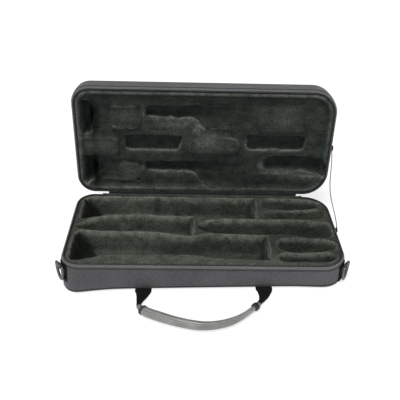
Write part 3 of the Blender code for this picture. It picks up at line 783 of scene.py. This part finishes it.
LID_OUTLINES = {  # the far one first, as (x, distance from the hinge) in millimetres
    "bells": (  # the bells' upper halves
        ((-236, 128), (-226, 123), (-214, 130), (-205, 158), (-214, 187), (-226, 193), (-236, 188)),
        ((-236, 26), (-226, 21), (-213, 27), (-204, 50), (-213, 74), (-226, 80), (-236, 75)),
    ),
    "bodies": (  # the joints' thicker ends
        ((-208, 132), (-180, 136), (-150, 135), (-126, 134), (-119, 160), (-124, 184), (-180, 184), (-208, 188)),
        ((-206, 28), (-180, 24), (-150, 20), (-122, 20), (-117, 45), (-122, 69), (-180, 73), (-206, 74)),
    ),
    "blocks": (  # soft blocks that press on them
        ((-176, 139), (-150, 137), (-130, 138), (-127, 160), (-131, 181), (-150, 182), (-176, 180)),
        ((-166, 28), (-150, 25), (-128, 27), (-124, 45), (-129, 62), (-150, 64), (-165, 61)),
    ),
    "slots": (  # single keys
        ((-153, 108), (-148, 94), (-100, 93), (-56, 93), (-48, 104), (-42, 121), (-60, 124), (-100, 124),
         (-148, 123)),
        ((84, 112), (88, 98), (140, 97), (190, 97), (196, 112), (190, 127), (140, 128), (88, 127)),
    ),
    "sweeps": (  # long rows of keys
        ((-112, 172), (-108, 162), (-60, 160), (-28, 160), (-14, 154), (-3, 142), (20, 134), (60, 133), (92, 137),
         (103, 155), (101, 178), (88, 190), (40, 190), (-20, 187), (-60, 185), (-106, 184)),
        ((-115, 58), (-110, 48), (-60, 48), (-28, 47), (-15, 40), (-6, 25), (18, 11), (60, 11), (80, 18), (86, 45),
         (78, 69), (30, 71), (-20, 70), (-60, 69), (-109, 68)),
    ),
    "oval": (
        ((117, 66), (121, 56), (135, 51), (195, 50), (228, 44), (241, 42), (244, 58), (232, 78), (195, 85),
         (142, 83), (122, 77)),
    ),
    "pads": (  # raised: on the far right, at the left end, and the island in the middle
        ((108, 133), (150, 134), (190, 136), (192, 160), (186, 182), (150, 184), (112, 182), (106, 160)),
        ((-237, 83), (-200, 82), (-170, 83), (-166, 100), (-170, 118), (-200, 119), (-237, 118)),
        ((-30, 100), (-27, 88), (0, 86), (36, 86), (62, 92), (71, 106), (60, 121), (34, 124), (10, 132), (-9, 148),
         (-24, 130)),
    ),
}
LID_HIGHLIGHT = (  # patches of painted highlight on lips and ledges, partly brushed pile: x, distance from the hinge, half-width and half-height in millimetres, and strength
    (6, 112, 26, 16, 0.75), (45, 105, 18, 12, 0.35), (-14, 135, 10, 14, 0.5), (-117, 168, 4, 9, 0.55),
    (-119, 54, 4, 7, 0.60), (82, 105, 4, 11, 0.5), (-144, 45, 18, 16, 0.40), (-150, 160, 22, 18, 0.20),
    (-200, 100, 30, 14, 0.25), (150, 160, 34, 20, 0.25), (150, 46, 34, 4, 0.95), (205, 40, 34, 4, 0.95),
    (115, 60, 6, 9, 0.9), (-60, 44, 56, 3, 0.55), (-60, 39, 46, 7, 0.25), (-50, 148, 48, 9, 0.50),
    (195, 40, 44, 9, 0.45), (-60, 128, 30, 8, 0.25), (4, 14, 16, 5, 0.5), (-140, 11, 50, 3, 0.7),
    (40, 9, 40, 3, 0.5), (-60, 156, 56, 3, 0.50), (135, 94, 52, 3, 0.4), (-100, 90, 50, 3, 0.4),
)


def lid_relief():
    """In the lid's frame y runs from the hinge to the free edge."""
    relief = Relief(4)
    floor = 0.0090
    share = np.clip((relief.inside - 0.0035) / 0.009, 0, 1)
    relief.depth += (floor - LINING_TOP) * share * share * (3 - 2 * share)
    ledge = np.clip(relief.inside / 0.0015, 0, 1) * np.clip((0.0085 - relief.inside) / 0.003, 0, 1)
    # Painted highlight along the ledge inside the zip, stronger towards the free edge and at the low-x end.
    relief.pale = ledge * np.clip(0.42 + 0.3 * (relief.y > 0.094) + 0.12 * (relief.x < -0.232), 0, 1)
    # Painted shade just inside the ledge near the free edge.
    relief.hollow = 0.45 * np.exp(-((relief.inside - 0.0105) / 0.0018) ** 2) * (relief.y > 0.06)
    hinge = HALF_DEPTH / MM
    shapes = {key: [bends([(x, reach - hinge) for x, reach in points]) for points in group]
              for key, group in LID_OUTLINES.items()}
    for bell in shapes["bells"]:
        relief.press(bell, 0.033, 0.011)
    # Painted shade in the bells' ends.
    for reach in (158, 50):
        relief.brush(-213, reach - hinge, 9, 34, 1.6, shade=True)
    # edge and dark paint shade along the rims and on the floors of these recesses.
    for body in shapes["bodies"]:
        relief.press(body, 0.0150, 0.010, edge=0.35)
    for block in shapes["blocks"]:
        relief.raise_up(block, 0.0065, 0.006)
    for slot in shapes["slots"]:
        relief.press(slot, 0.0225, 0.006, dark=0.20, edge=0.7)
    shallower = np.clip((relief.x + 0.025) / 0.080, 0, 1)
    for sweep in shapes["sweeps"]:
        relief.press(sweep, 0.0225 - 0.0105 * shallower, 0.006 + 0.008 * shallower,
                     dark=0.30 - 0.25 * shallower, edge=0.8 - 0.55 * shallower)
    relief.press(shapes["oval"][0], 0.0250, 0.009, dark=0.25, edge=0.7)
    for pad, height, wall in zip(shapes["pads"], (0.0045, 0.0055, 0.0070), (0.006, 0.004, 0.005)):
        relief.raise_up(pad, height, wall)
    # Painted shade over the right part near the hinge.
    relief.brush(110, 18 - hinge, 110, 16, 0.30, shade=True)
    for x, reach, wide, high, amount in LID_HIGHLIGHT:
        relief.brush(x, reach - hinge, wide, high, amount)
    return relief


def make_linings():
    for half, relief, lip_gain in (("base", base_relief(), 0), ("lid", lid_relief(), 0.9)):
        floor = FLOORS[half]
        under = PANEL_THICK + SHELL_THICK + 2 * GAP
        mesh = relief.mesh(f"{half}_lining", lambda x: floor(x) + under, lip_gain)
        lining = new_piece(f"{half}_lining_plush", mesh, f"{half}_plush", half,
                           (f"{half}_plush_lining", f"{half}_foam_insert"))


DIVIDERS = {  # name: (low x, high x, low y, high y, floor depth), in millimetres
    "divider_back": (99, 105.6, 33, 96.5, 36.5),
    "divider_middle": (-23.6, -17.4, -21.5, 30, 32.5),
    "divider_front": (111, 117.6, -87, -26, 36.5),
}


def make_dividers():
    for seed, (name, (x0, x1, y0, y1, depth)) in enumerate(DIVIDERS.items()):
        low = Vector((x0, y0 + 2, -depth)) * MM
        high = Vector((x1 - 1.5, y1 - 2, -0.6)) * MM
        mesh = pad_mesh(name, low, high, 0.0018, 0.00015, seed)
        crest_highlight, hollow = [], []
        for co in (v.co for v in mesh.vertices):
            back = min(1, max(0, (co.y - low.y) / (high.y - low.y)))
            front_face = co.x < low.x + 0.0008 and co.z < -0.002
            # Painted highlight on the top's near end, painted shade towards its back and on the low-x face.
            crest_highlight.append(0.0 if front_face else 0.75 * max(0, 1 - 1.8 * back) ** 0.5)
            hollow.append(0.9 if front_face else 0.55 * min(1, 2 * back))
        add_layer(mesh, "crest_highlight", crest_highlight)
        add_layer(mesh, "hollow", hollow)
        pad = new_piece(f"{name}_pad", mesh, "base_plush", "base", (name,))


# --- covers and zips ---


BULGES = (  # of the base's two front corners: x, how far each point moves at most, in millimetres
    (-0.236, (-1.5, -8.0)),
    (0.230, (4.0, -6.0)),
)


def settle(mesh):
    """Lets the foot of the base bulge out at its front corners, under the case's weight."""
    for vertex in mesh.vertices:
        co = vertex.co
        low = min(1, max(0, (-co.z - 0.015) / 0.035)) ** 1.5
        shift = Vector((0, 0, 0))
        for x, (across, forward) in BULGES:
            near = math.exp(-((co.x - x) / 0.052) ** 2 - ((co.y + HALF_DEPTH) / 0.034) ** 2)
            shift += Vector((across, forward, 0)) * (MM * near * low)
        co += shift


def unevenness(point):
    """A slow wave round the outline, from -1 to 1, that stands for cloth which isn't quite taut."""
    return 0.6 * math.sin(point.x * 43 + point.y * 71) + 0.4 * math.sin(point.x * 97 - point.y * 61 + 2)


COIL_INSET, COIL_RADIUS, COIL_PITCH = 0.0047, 0.0012, 0.0016
COIL_RIBS = (0.92, 0.70, 0.92, 1.0)  # the coil's thickness along one turn of its wire


def make_half(half, hinge_side):
    """A half's side band, seam piping and zip. hinge_side is the sign of the side the zip leaves open."""
    floor = FLOORS[half]

    def piping_z(x):
        return floor(x) + PANEL_THICK + GAP + PIPING_RADIUS

    def band_section(point):
        low, high = piping_z(point.x) + PIPING_RADIUS + GAP, -SEAM_DEPTH
        section = [(0.0032, low), (0.0012, low), (0.0002, low + 0.0010)]
        for step in range(1, 10):
            share = step / 10
            puff = math.sin(math.pi * share) * (0.0010 + 0.0004 * unevenness(point))
            section.append((-puff, low + 0.0012 + (high - low - 0.0024) * share))
        return section + [(0.0002, high - 0.0010), (0.0012, high), (0.0032, high)]

    def tape_section(_):
        low = -SEAM_DEPTH + GAP
        outer = [(0.0004 + 0.0020 * (step / 4) ** 1.5, low + 0.0047 * step / 4) for step in range(5)]
        return outer + [(inset + 0.0009, z) for inset, z in reversed(outer)]

    mesh = rim("band", band_section)
    if half == "base":
        settle(mesh)

    def sewn(co):
        return not piping_z(co[0]) + PIPING_RADIUS + 0.002 < co[2] < -SEAM_DEPTH - 0.002

    band = new_piece(f"{half}_band_cloth", mesh, f"{half}_band", half, (f"{half}_side_band",),
                     swell=swelling(1.2, 0.0012, sewn))

    piping = tube("piping", rim_line(PIPING_RADIUS, piping_z), PIPING_RADIUS, 8, closed=True)
    if half == "base":
        settle(piping)
    new_piece(f"{half}_piping_cord", piping, "piping", half, (f"{half}_seam_piping",))
    new_piece(f"{half}_tape_cloth", rim("tape", tape_section, hinge_side), f"{half}_tape", half,
              (f"{half}_zip_tape",))

    coil_line = even_line(rim_line(COIL_INSET, -COIL_RADIUS, hinge_side), COIL_PITCH / len(COIL_RIBS))
    coil = tube("coil", coil_line, lambda i: COIL_RADIUS * COIL_RIBS[i % len(COIL_RIBS)], 6)
    new_piece(f"{half}_coil_teeth", coil, "coil", half, (f"{half}_zip_coil",))

    seam = rim_line(0.00035, -SEAM_DEPTH - 0.0003)
    ridge = tube("ridge", seam, 0.0006, 5, closed=True)
    new_piece(f"{half}_seam_ridge", ridge, "thread", half)
    thread = stitches("stitches", rim_line(-0.0002, -SEAM_DEPTH - 0.0022), 0.0034, 0.00032, closed=True)
    new_piece(f"{half}_band_stitches", thread, "thread", half)


def make_panel(half, outer, crown, cap):
    """The large outer panel between its piped edges, crowned a little."""
    floor = FLOORS[half]
    x, y, inside = grid_over(2 * PIPING_RADIUS + 0.0004, 0.006)
    edge = np.clip(inside / 0.045, 0, 1)
    lift = crown * (1 - (1 - edge) ** 3) - 0.0010 * np.clip(1 - inside / 0.004, 0, 1)
    low = np.vectorize(floor)(x) - lift
    mesh = body_over("panel", x, y, inside, low, lambda at: floor(at) + PANEL_THICK)
    mesh.flip_normals()
    if half == "base":
        settle(mesh)

    def sewn(co):
        return co[2] > floor(co[0]) + 0.0002

    swell = swelling(0.4, cap, sewn) if cap else None
    panel = new_piece(f"{half}_{outer}_cloth", mesh, f"{half}_panel", half, (f"{half}_{outer}_panel",), swell=swell)


def make_covers():
    make_half("base", 1)
    make_half("lid", -1)
    make_panel("base", "bottom", -0.0003, 0)
    make_panel("lid", "top", 0.0025, 0.003)


def make_hinge():
    """The cloth between the halves, as they stand open."""
    reach, thick, half = SEAM_DEPTH - GAP, 0.0009, HINGE_HALF - 0.0006
    steps, columns = 8, 128
    rings = []
    for column in range(columns + 1):
        x = -half + 2 * half * column / columns
        wrinkle = 0.0004 * math.sin(x * 140) + 0.0003 * math.sin(x * 330 + 1)
        outer, inner = [], []
        for k in range(steps + 1):
            share = k / steps
            along_base, along_lid = max(0, 1 - 2 * share) * reach, max(0, 2 * share - 1) * reach
            corner = (1 - abs(2 * share - 1)) ** 2 * (0.0012 + wrinkle)
            on_base = TO_BASE @ Vector((x, HALF_DEPTH, -along_base))
            on_lid = TO_LID @ Vector((x, -HALF_DEPTH, -along_lid))
            point = on_base if share < 0.5 else on_lid
            inward = (Vector((0, -1, 0)).lerp(NORMAL, share)).normalized()
            outer.append(point + inward * corner)
            inner.append(point + inward * (corner + thick))
        rings.append(outer + inner[::-1])
    cloth = new_piece("hinge_cloth_strip", skin("hinge", rings, closed=False), "hinge", None, ("hinge_cloth",))
    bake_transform(cloth)


def make_hinge_pads():
    """The plush along the hinge, from each lining's edge to the hinge line."""
    inner = HALF_DEPTH - INSERT_INSET - 0.0004
    for half, side in (("base", 1), ("lid", -1)):
        near, far = sorted((side * inner, side * (HALF_DEPTH - 0.0006)))
        mesh = pad_mesh("hinge_pad", (-HINGE_HALF, near, -0.0030), (HINGE_HALF, far, -0.0003), 0.0012)
        pad = new_piece(f"hinge_plush_{half}", mesh, f"{half}_plush", half)


# --- lid stay ---

STAY_X = HALF_LENGTH + 0.0013
STAY_BASE = Vector((STAY_X, 0.005, -0.0015))
STAY_LID = Vector((STAY_X, 0.0965 - HALF_DEPTH, -0.0075))  # in the lid's own frame
STAY_BOW = Vector((-0.0072, 0, -0.004))  # how far the middle of the cord hangs off the straight line


def make_stay():
    start, end = TO_BASE @ STAY_BASE, TO_LID @ STAY_LID
    slack = TO_BASE.to_3x3() @ STAY_BOW
    steps = 60
    line = [start.lerp(end, i / steps) + slack * math.sin(math.pi * (i / steps)) ** 2 for i in range(steps + 1)]
    braid = tube("stay", line, lambda i: 0.00098 + 0.00007 * (i % 2), 8, normal=Vector((1, 0, 0)))
    cord = new_piece("stay_braid", braid, "cord", None, ("stay_cord",))
    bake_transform(cord)
    low_x = HALF_LENGTH + 0.0002
    tabs = (
        ("base", (low_x, 0.000, -0.010), (low_x + 0.0024, 0.010, -0.0028)),
        ("lid", (low_x, 0.098 - HALF_DEPTH, -0.011), (low_x + 0.0024, 0.108 - HALF_DEPTH, -0.004)),
    )
    for half, low, high in tabs:
        folded = pad_mesh("tab", low, high, 0.0009)
        new_piece(f"stay_loop_{half}", folded, "patch", half, (f"stay_tab_{half}",))
        (_, y0, z0), (x1, y1, z1) = low, high
        y0, y1, z0, z1 = y0 + 0.0012, y1 - 0.0012, z0 + 0.0012, z1 - 0.0012
        frame_line = [Vector((x1 + 0.0001, y, z)) for y, z in ((y0, z0), (y1, z0), (y1, z1), (y0, z1))]
        thread = stitches("tab", frame_line, 0.0014, 0.00022, closed=True)
        new_piece(f"stay_stitches_{half}", thread, "cord", half, slot="webbing")


# --- carrying handle ---

HANDLE_ROUTE = (  # middle of the handle, left root to right root, in millimetres
    (-108, -113, 1.7), (-108, -119, 1.9), (-109.5, -130, 2.8), (-112, -143.5, 5.2), (-112, -156.5, 7.9),
    (-101, -169.3, 8.7), (-78, -181, 8.7), (-43.5, -194.7, 8.7), (-6, -203.3, 8.7), (28.5, -199.4, 8.7),
    (56.5, -186.3, 8.7), (78, -168, 8.4), (92, -151, 6.4), (100, -134.5, 3.3), (103, -120, 1.9), (103, -113, 1.7),
)
HANDLE_STEP = 0.0015
WEBBING_END = 0.044  # this and the next two are distances along the handle from either root
NECK_END = 0.0555
COLLAR_END = 0.059
COLLARS = {  # start along the handle from its own root, half-width and half-height
    "left": (NECK_END - 0.001, 0.0092, 0.0079),
    "right": (NECK_END - 0.005, 0.0070, 0.0064),
}
GRIP_WIDE, GRIP_HIGH = 0.0094, 0.0079
SEAM_ANGLE = math.radians(72)  # of the grip's seam, round from the side away from the case


def swept(name, line, start, end, section_at):
    """A body along the part of a line between two distances. section_at gives (sideways, upwards) points."""
    rings = []
    for i, (point, side, up) in enumerate(directions(line)):
        distance = i * (line[1] - line[0]).length
        if start <= distance <= end:
            share = (distance - start) / (end - start)
            rings.append([point + side * a + up * b for a, b in section_at(distance, share)])
    return skin(name, rings, closed=False)


def eased(share):
    share = min(1, max(0, share))
    return share * share * (3 - 2 * share)


def webbing_section(distance, _):
    """Flat at the case, and folded narrow with a groove along its middle where it enters the neck."""
    fold = min(1, max(0, (distance - 0.003) / (WEBBING_END - 0.010))) ** 0.85
    half = 0.0145 * (1 - fold) + 0.0038 * fold
    thick = 0.0009 * (1 - fold) + 0.0034 * fold
    top, bottom = [], []
    for k in range(13):
        across = -1 + k / 6
        edge = thick * (0.25 + 0.75 * math.sqrt(max(0.0, 1 - abs(across) ** 5)))
        groove = fold * 0.0016 * math.exp(-(across / 0.28) ** 2)
        top.append((half * across, edge - groove))
        bottom.append((half * across, -edge))
    return top + bottom[::-1]


def oval(wide, high, sides=16):
    return [(wide * math.cos(math.tau * k / sides), high * math.sin(math.tau * k / sides)) for k in range(sides)]


def neck_section(_, share):
    """Leather drawn tight over the folded webbing, filling out towards the collar."""
    full = eased(share)
    ends = 1 - 0.22 * (1 - min(1, share / 0.08)) ** 2
    return oval((0.0048 + 0.0014 * full) * ends, (0.0043 + 0.0015 * full) * ends)


def collar_section(wide, high):
    def section(_, share):
        round_off = 1 - 0.10 * abs(2 * share - 1) ** 3
        return oval(wide * round_off, high * round_off, 20)

    return section


def grip_size(share):
    """The grip's thickness along its length, as a share of its greatest; the right end is worn thin."""
    return float(np.interp(share, (0, 0.2, 0.5, 0.7, 0.88, 1), (0.93, 0.94, 0.86, 0.76, 0.55, 0.47)))


def grip_section(distance, share):
    """A slightly flattened roll with a seam that sinks in between two turned edges."""
    ends = 1 - 0.16 * (1 - min(1, min(share, 1 - share) / 0.02)) ** 2
    lumps = grip_size(share) * (1 + 0.012 * math.sin(distance * 95) + 0.008 * math.sin(distance * 210 + 1))
    points = []
    for k in range(48):
        angle = math.tau * k / 48
        off = (angle - SEAM_ANGLE + math.pi) % math.tau - math.pi
        seam = 0.00075 * math.exp(-(off / 0.10) ** 2) - 0.00035 * math.exp(-((abs(off) - 0.24) / 0.12) ** 2)
        points.append(((GRIP_WIDE * ends * lumps - seam) * math.cos(angle),
                       (GRIP_HIGH * ends * lumps - seam) * math.sin(angle)))
    return points


def make_handle():
    line = smooth_line([Vector(p) * MM for p in HANDLE_ROUTE], HANDLE_STEP)
    length = (len(line) - 1) * (line[1] - line[0]).length
    for side_name, path in (("left", line), ("right", line[::-1])):
        root = path[0]
        tail = [Vector((root.x, root.y + HANDLE_STEP * k, 0.0015)) for k in (4, 3, 2, 1)]
        strap = swept("strap", tail + path, 0, WEBBING_END + 0.009,
                      lambda distance, share: webbing_section(distance - 0.006, share))
        piece = new_piece(f"handle_webbing_{side_name}", strap, "webbing", None,
                          (f"handle_strap_{side_name}", f"handle_tail_{side_name}"))
        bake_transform(piece)
        neck = swept("neck", path, WEBBING_END, NECK_END, neck_section)
        new_piece(f"handle_neck_{side_name}", neck, "leather_rough", "handle")
        start, wide, high = COLLARS[side_name]
        collar = swept("collar", path, start, COLLAR_END + 0.0005, collar_section(wide, high))
        new_piece(f"handle_ring_{side_name}", collar, "collar", "handle", (f"handle_collar_{side_name}",))
    grip = swept("grip", line, COLLAR_END - 0.0005, length - COLLAR_END + 0.0005, grip_section)
    new_piece("handle_grip_leather", grip, "leather", "handle", ("handle_grip_wrap", "handle_core"))
    for off in (-0.23, 0.23):
        angle = SEAM_ANGLE + off
        path = []
        for i, (point, side, up) in enumerate(directions(line)):
            if COLLAR_END + 0.004 <= i * HANDLE_STEP <= length - COLLAR_END - 0.004:
                highlight_mask = grip_size((i * HANDLE_STEP - COLLAR_END) / (length - 2 * COLLAR_END))
                path.append(point + side * (GRIP_WIDE * highlight_mask + 0.0003) * math.cos(angle)
                            + up * (GRIP_HIGH * highlight_mask + 0.0003) * math.sin(angle))
        thread = stitches("grip_thread", path, 0.0032, 0.00026)
        side_name = "outer" if off < 0 else "inner"
        new_piece(f"handle_grip_stitches_{side_name}", thread, "grip_thread", "handle")


# --- shoulder-strap rings ---

RING_STANDOFF = 0.0073
RING_HALF_WIDTH = 0.012
RING_DROP = 0.030
RING_WIRE = 0.0025
RING_TILT = math.radians(-0.5)  # a trace outwards at the bottom, as the case's side bulges behind the rings
PATCH_HALF_WIDTH, PATCH_LOW, PATCH_HIGH = 0.0112, -0.0408, -0.0068


def make_ring(side_name, radius):
    """A webbing patch sewn round the corner, a pressed metal loop on it, and the D ring that hangs in the loop."""
    pivot = TO_BASE.inverted() @ Vector(joint(f"d_ring_{side_name}_swing")["pos_m"])
    axis = TO_BASE.to_3x3().inverted() @ Vector(joint(f"d_ring_{side_name}_swing")["axis"])
    up = Vector((0, 0, 1))
    along = -axis
    out = along.cross(up)
    centre = pivot - out * (radius + RING_STANDOFF) - up * pivot.z

    def on_corner(across, z, height):
        angle = across / radius
        return centre + (out * math.cos(angle) + along * math.sin(angle)) * (radius + height) + up * z

    half, low, high = PATCH_HALF_WIDTH, PATCH_LOW, PATCH_HIGH
    rings = []
    for k in range(23):
        z = low + (high - low) * k / 22
        thick = 0.0024 - 0.0012 * (1 - min(1, min(k, 22 - k) / 2))
        front = [(half * (j / 8 - 1), thick - (0.0010 if j in (0, 16) else 0)) for j in range(17)]
        back = [(across, 0.0003) for across, _ in reversed(front)]
        rings.append([on_corner(across, z, height) for across, height in front + back])
    patch = skin("patch", rings, closed=False)
    settle(patch)
    new_piece(f"ring_patch_{side_name}_webbing", patch, "patch", "base", (f"ring_patch_{side_name}",))
    inner = 0.0020
    corners = ((-half + inner, low + inner), (half - inner, low + inner), (half - inner, -0.019),
               (-half + inner, -0.019))
    box = even_line([on_corner(across, z, 0.0026) for across, z in corners], 0.001, closed=True)
    cross = [[on_corner(a, z, 0.0026) for a, z in ends] for ends in ((corners[0], corners[2]),
                                                                     (corners[1], corners[3]))]
    thread = merged("patch_thread", [stitches("t", box, 0.0030, 0.00028, closed=True)]
                    + [stitches("t", line, 0.0030, 0.00028) for line in cross])
    settle(thread)
    new_piece(f"ring_patch_{side_name}_stitches", thread, "thread", "base", slot="webbing")

    # The loop's strip runs up from the patch, over the ring's bar and back down to the patch.
    wrap, thick = RING_WIRE + 0.0007, 0.0011
    route = [pivot - out * 0.0047 - up * 0.0105, pivot - out * 0.0045 - up * 0.0050, pivot - out * 0.0034]
    for step in range(9):
        angle = math.radians(165 - 225 * step / 8)
        route.append(pivot + (out * math.cos(angle) + up * math.sin(angle)) * wrap)
    route += [pivot - out * 0.0016 - up * 0.0040, pivot - out * 0.0038 - up * 0.0078]
    strip = smooth_line(route, 0.0006)
    rings = []
    for point, side, _ in directions(strip, normal=along):
        rings.append([point + along * (0.0062 * a) + side * (thick * b)
                      for a, b in ((-1, -0.3), (-0.92, -0.5), (0.92, -0.5), (1, -0.3), (1, 0.3), (0.92, 0.5),
                                   (-0.92, 0.5), (-1, 0.3))])
    new_piece(f"ring_loop_{side_name}_strip", skin("loop", rings, closed=False), "metal", "base",
              (f"ring_loop_{side_name}",))
    rivet = tube("rivet", [pivot - out * reach - up * 0.0108 for reach in (0.0052, 0.0040, 0.0034)],
                 lambda i: (0.0019, 0.0018, 0.0009)[i], 14)
    new_piece(f"ring_rivet_{side_name}", rivet, "metal", "base")

    down = (-up * math.cos(RING_TILT) - out * math.sin(RING_TILT)).normalized()
    path = [along * (RING_HALF_WIDTH * s) for s in (-0.85, -0.4, 0.0, 0.4, 0.85)]
    for step in range(33):
        angle = math.radians(-6 + 192 * step / 32)
        drop = 0.0035 + (RING_DROP - 0.0035) * math.sin(angle)
        path.append(along * (RING_HALF_WIDTH * math.cos(angle)) + down * drop)
    ring_line = [pivot + p for p in smooth_line(path, 0.0012, closed=True)]
    ring = tube("d_ring", ring_line, RING_WIRE, 16, closed=True, normal=along.cross(down))
    new_piece(f"d_ring_{side_name}_wire", ring, "metal", f"d_ring_{side_name}", (f"d_ring_{side_name}",))


# --- zip sliders ---

SLIDER_X = 0.1975  # just past the end of the cloth hinge
SLIDER_Z = -0.0073


def plate(name, points, y0, y1, edge=0.0004):
    """A plate in the XZ plane with softened edges, from y0 to y1."""
    middle = Vector((sum(p[0] for p in points), 0, sum(p[1] for p in points))) / len(points)

    def ring(y, inset):
        found = []
        for x, z in points:
            off = Vector((x, 0, z)) - middle
            found.append(middle + off * (1 - inset / max(off.length, 1e-6)) + Vector((0, y, 0)))
        return found

    rings = [ring(y0, edge), ring(y0 + edge, 0), ring(y1 - edge, 0), ring(y1, edge)]
    return skin(name, rings, closed=False)


def make_slider(side_name, side):
    """A slider whose two plates run on either face of the tape, and a pull with a hole at its tip."""
    face = HALF_DEPTH + 0.0004
    centre = Vector((side * SLIDER_X, 0, SLIDER_Z))

    def turned(points):
        return [(centre.x + side * x, centre.z + z) for x, z in points]

    body = turned(((-0.0052, -0.0026), (-0.0040, -0.0036), (0.0020, -0.0042), (0.0052, -0.0034), (0.0055, 0.0),
                   (0.0052, 0.0034), (0.0020, 0.0042), (-0.0040, 0.0036), (-0.0052, 0.0026)))
    wedge = turned(((-0.0015, -0.0015), (0.0030, -0.0008), (0.0030, 0.0008), (-0.0015, 0.0015)))
    bridge_line = smooth_line([Vector((centre.x + side * x, face + y, centre.z)) for x, y in
                               ((-0.0040, 0.0030), (-0.0034, 0.0046), (-0.0010, 0.0052), (0.0022, 0.0048),
                                (0.0036, 0.0032))], 0.0005)
    parts = [plate("front", body, face + 0.0024, face + 0.0038), plate("back", body, face, face + 0.0012),
             plate("wedge", wedge, face + 0.0010, face + 0.0026, 0.0002),
             tube("bridge", bridge_line, 0.0007, 8)]
    new_piece(f"zip_slider_{side_name}_body", merged("slider", parts), "metal", f"zip_slider_{side_name}",
              (f"zip_slider_{side_name}",))

    pivot_y = face + 0.0050
    loop = [Vector((x, 0, z)) for x, z in ((0.0012, 0.0), (0.0004, 0.0011), (-0.0100, 0.0017), (-0.0190, 0.0025),
                                           (-0.0228, 0.0017), (-0.0236, 0.0), (-0.0228, -0.0017),
                                           (-0.0190, -0.0025), (-0.0100, -0.0017), (0.0004, -0.0011))]
    edge = [centre + Vector((side * p.x, pivot_y, p.z)) for p in smooth_line(loop, 0.0007, closed=True)]
    web = turned(((-0.0050, -0.0013), (-0.0150, -0.0019), (-0.0165, -0.0012), (-0.0165, 0.0012),
                  (-0.0150, 0.0019), (-0.0050, 0.0013)))
    parts = [tube("edge", edge, 0.00065, 8, closed=True, normal=Vector((0, 1, 0))),
             plate("web", web, pivot_y - 0.0004, pivot_y + 0.0004, 0.0002)]
    new_piece(f"zip_pull_{side_name}_plate", merged("pull", parts), "metal", f"zip_pull_{side_name}",
              (f"zip_pull_{side_name}",))


def dress_cad():
    """The board shells keep their CAD shape."""
    for name in ("base_shell", "lid_shell"):
        obj = frame["nodes"][name]
        obj.data.materials.clear()
        obj.data.materials.append(PAINTS["board"][0])


# --- stage ---


OVERHEAD = 0.20  # how bright the sky is there, white being 1


def soft_sun(name, towards, spread, strength):
    """An even light from one direction, spread over some degrees like a large softbox."""
    data = bpy.data.lights.new(name, "SUN")
    data.angle = math.radians(spread)
    data.energy = strength
    light = bpy.data.objects.new(name, data)
    bpy.context.scene.collection.objects.link(light)
    light.rotation_euler = Vector(towards).to_track_quat("Z", "Y").to_euler()


def make_stage():
    half = 40.0
    mesh = mesh_of("floor", [(-half, -half, -0.0003), (half, -half, -0.0003), (half, half, -0.0003),
                             (-half, half, -0.0003)], [(0, 1, 2, 3)])
    mesh.materials.append(PAINTS["floor"][0])
    floor = bpy.data.objects.new("floor", mesh)
    bpy.context.scene.collection.objects.link(floor)
    # White round the horizon, like a studio's curved wall, and dimmer overhead.
    world = bpy.data.worlds.new("studio")
    world.use_nodes = True
    tree = world.node_tree
    direction = tree.nodes.new("ShaderNodeTexCoord")
    height = tree.nodes.new("ShaderNodeSeparateXYZ")
    fade = tree.nodes.new("ShaderNodeMapRange")
    tree.links.new(direction.outputs["Generated"], height.inputs[0])
    tree.links.new(height.outputs["Z"], fade.inputs["Value"])
    for key, value in (("From Min", 0.30), ("From Max", 0.50), ("To Min", 1.0), ("To Max", OVERHEAD)):
        fade.inputs[key].default_value = value
    background = tree.nodes["Background"]
    background.inputs["Color"].default_value = (1, 1, 1, 1)
    tree.links.new(fade.outputs[0], background.inputs["Strength"])
    bpy.context.scene.world = world
    soft_sun("key", (-0.14, -0.26, 1.0), 24, 2.5)
    bpy.context.scene.view_settings.view_transform = "Standard"


def main():
    make_camera()
    make_materials()
    dress_cad()
    make_linings()
    make_dividers()
    make_covers()
    make_hinge()
    make_hinge_pads()
    make_stay()
    make_handle()
    make_ring("left", LEFT_RADIUS)
    make_ring("right", RIGHT_RADIUS)
    make_slider("left", -1)
    make_slider("right", 1)
    make_stage()


main()
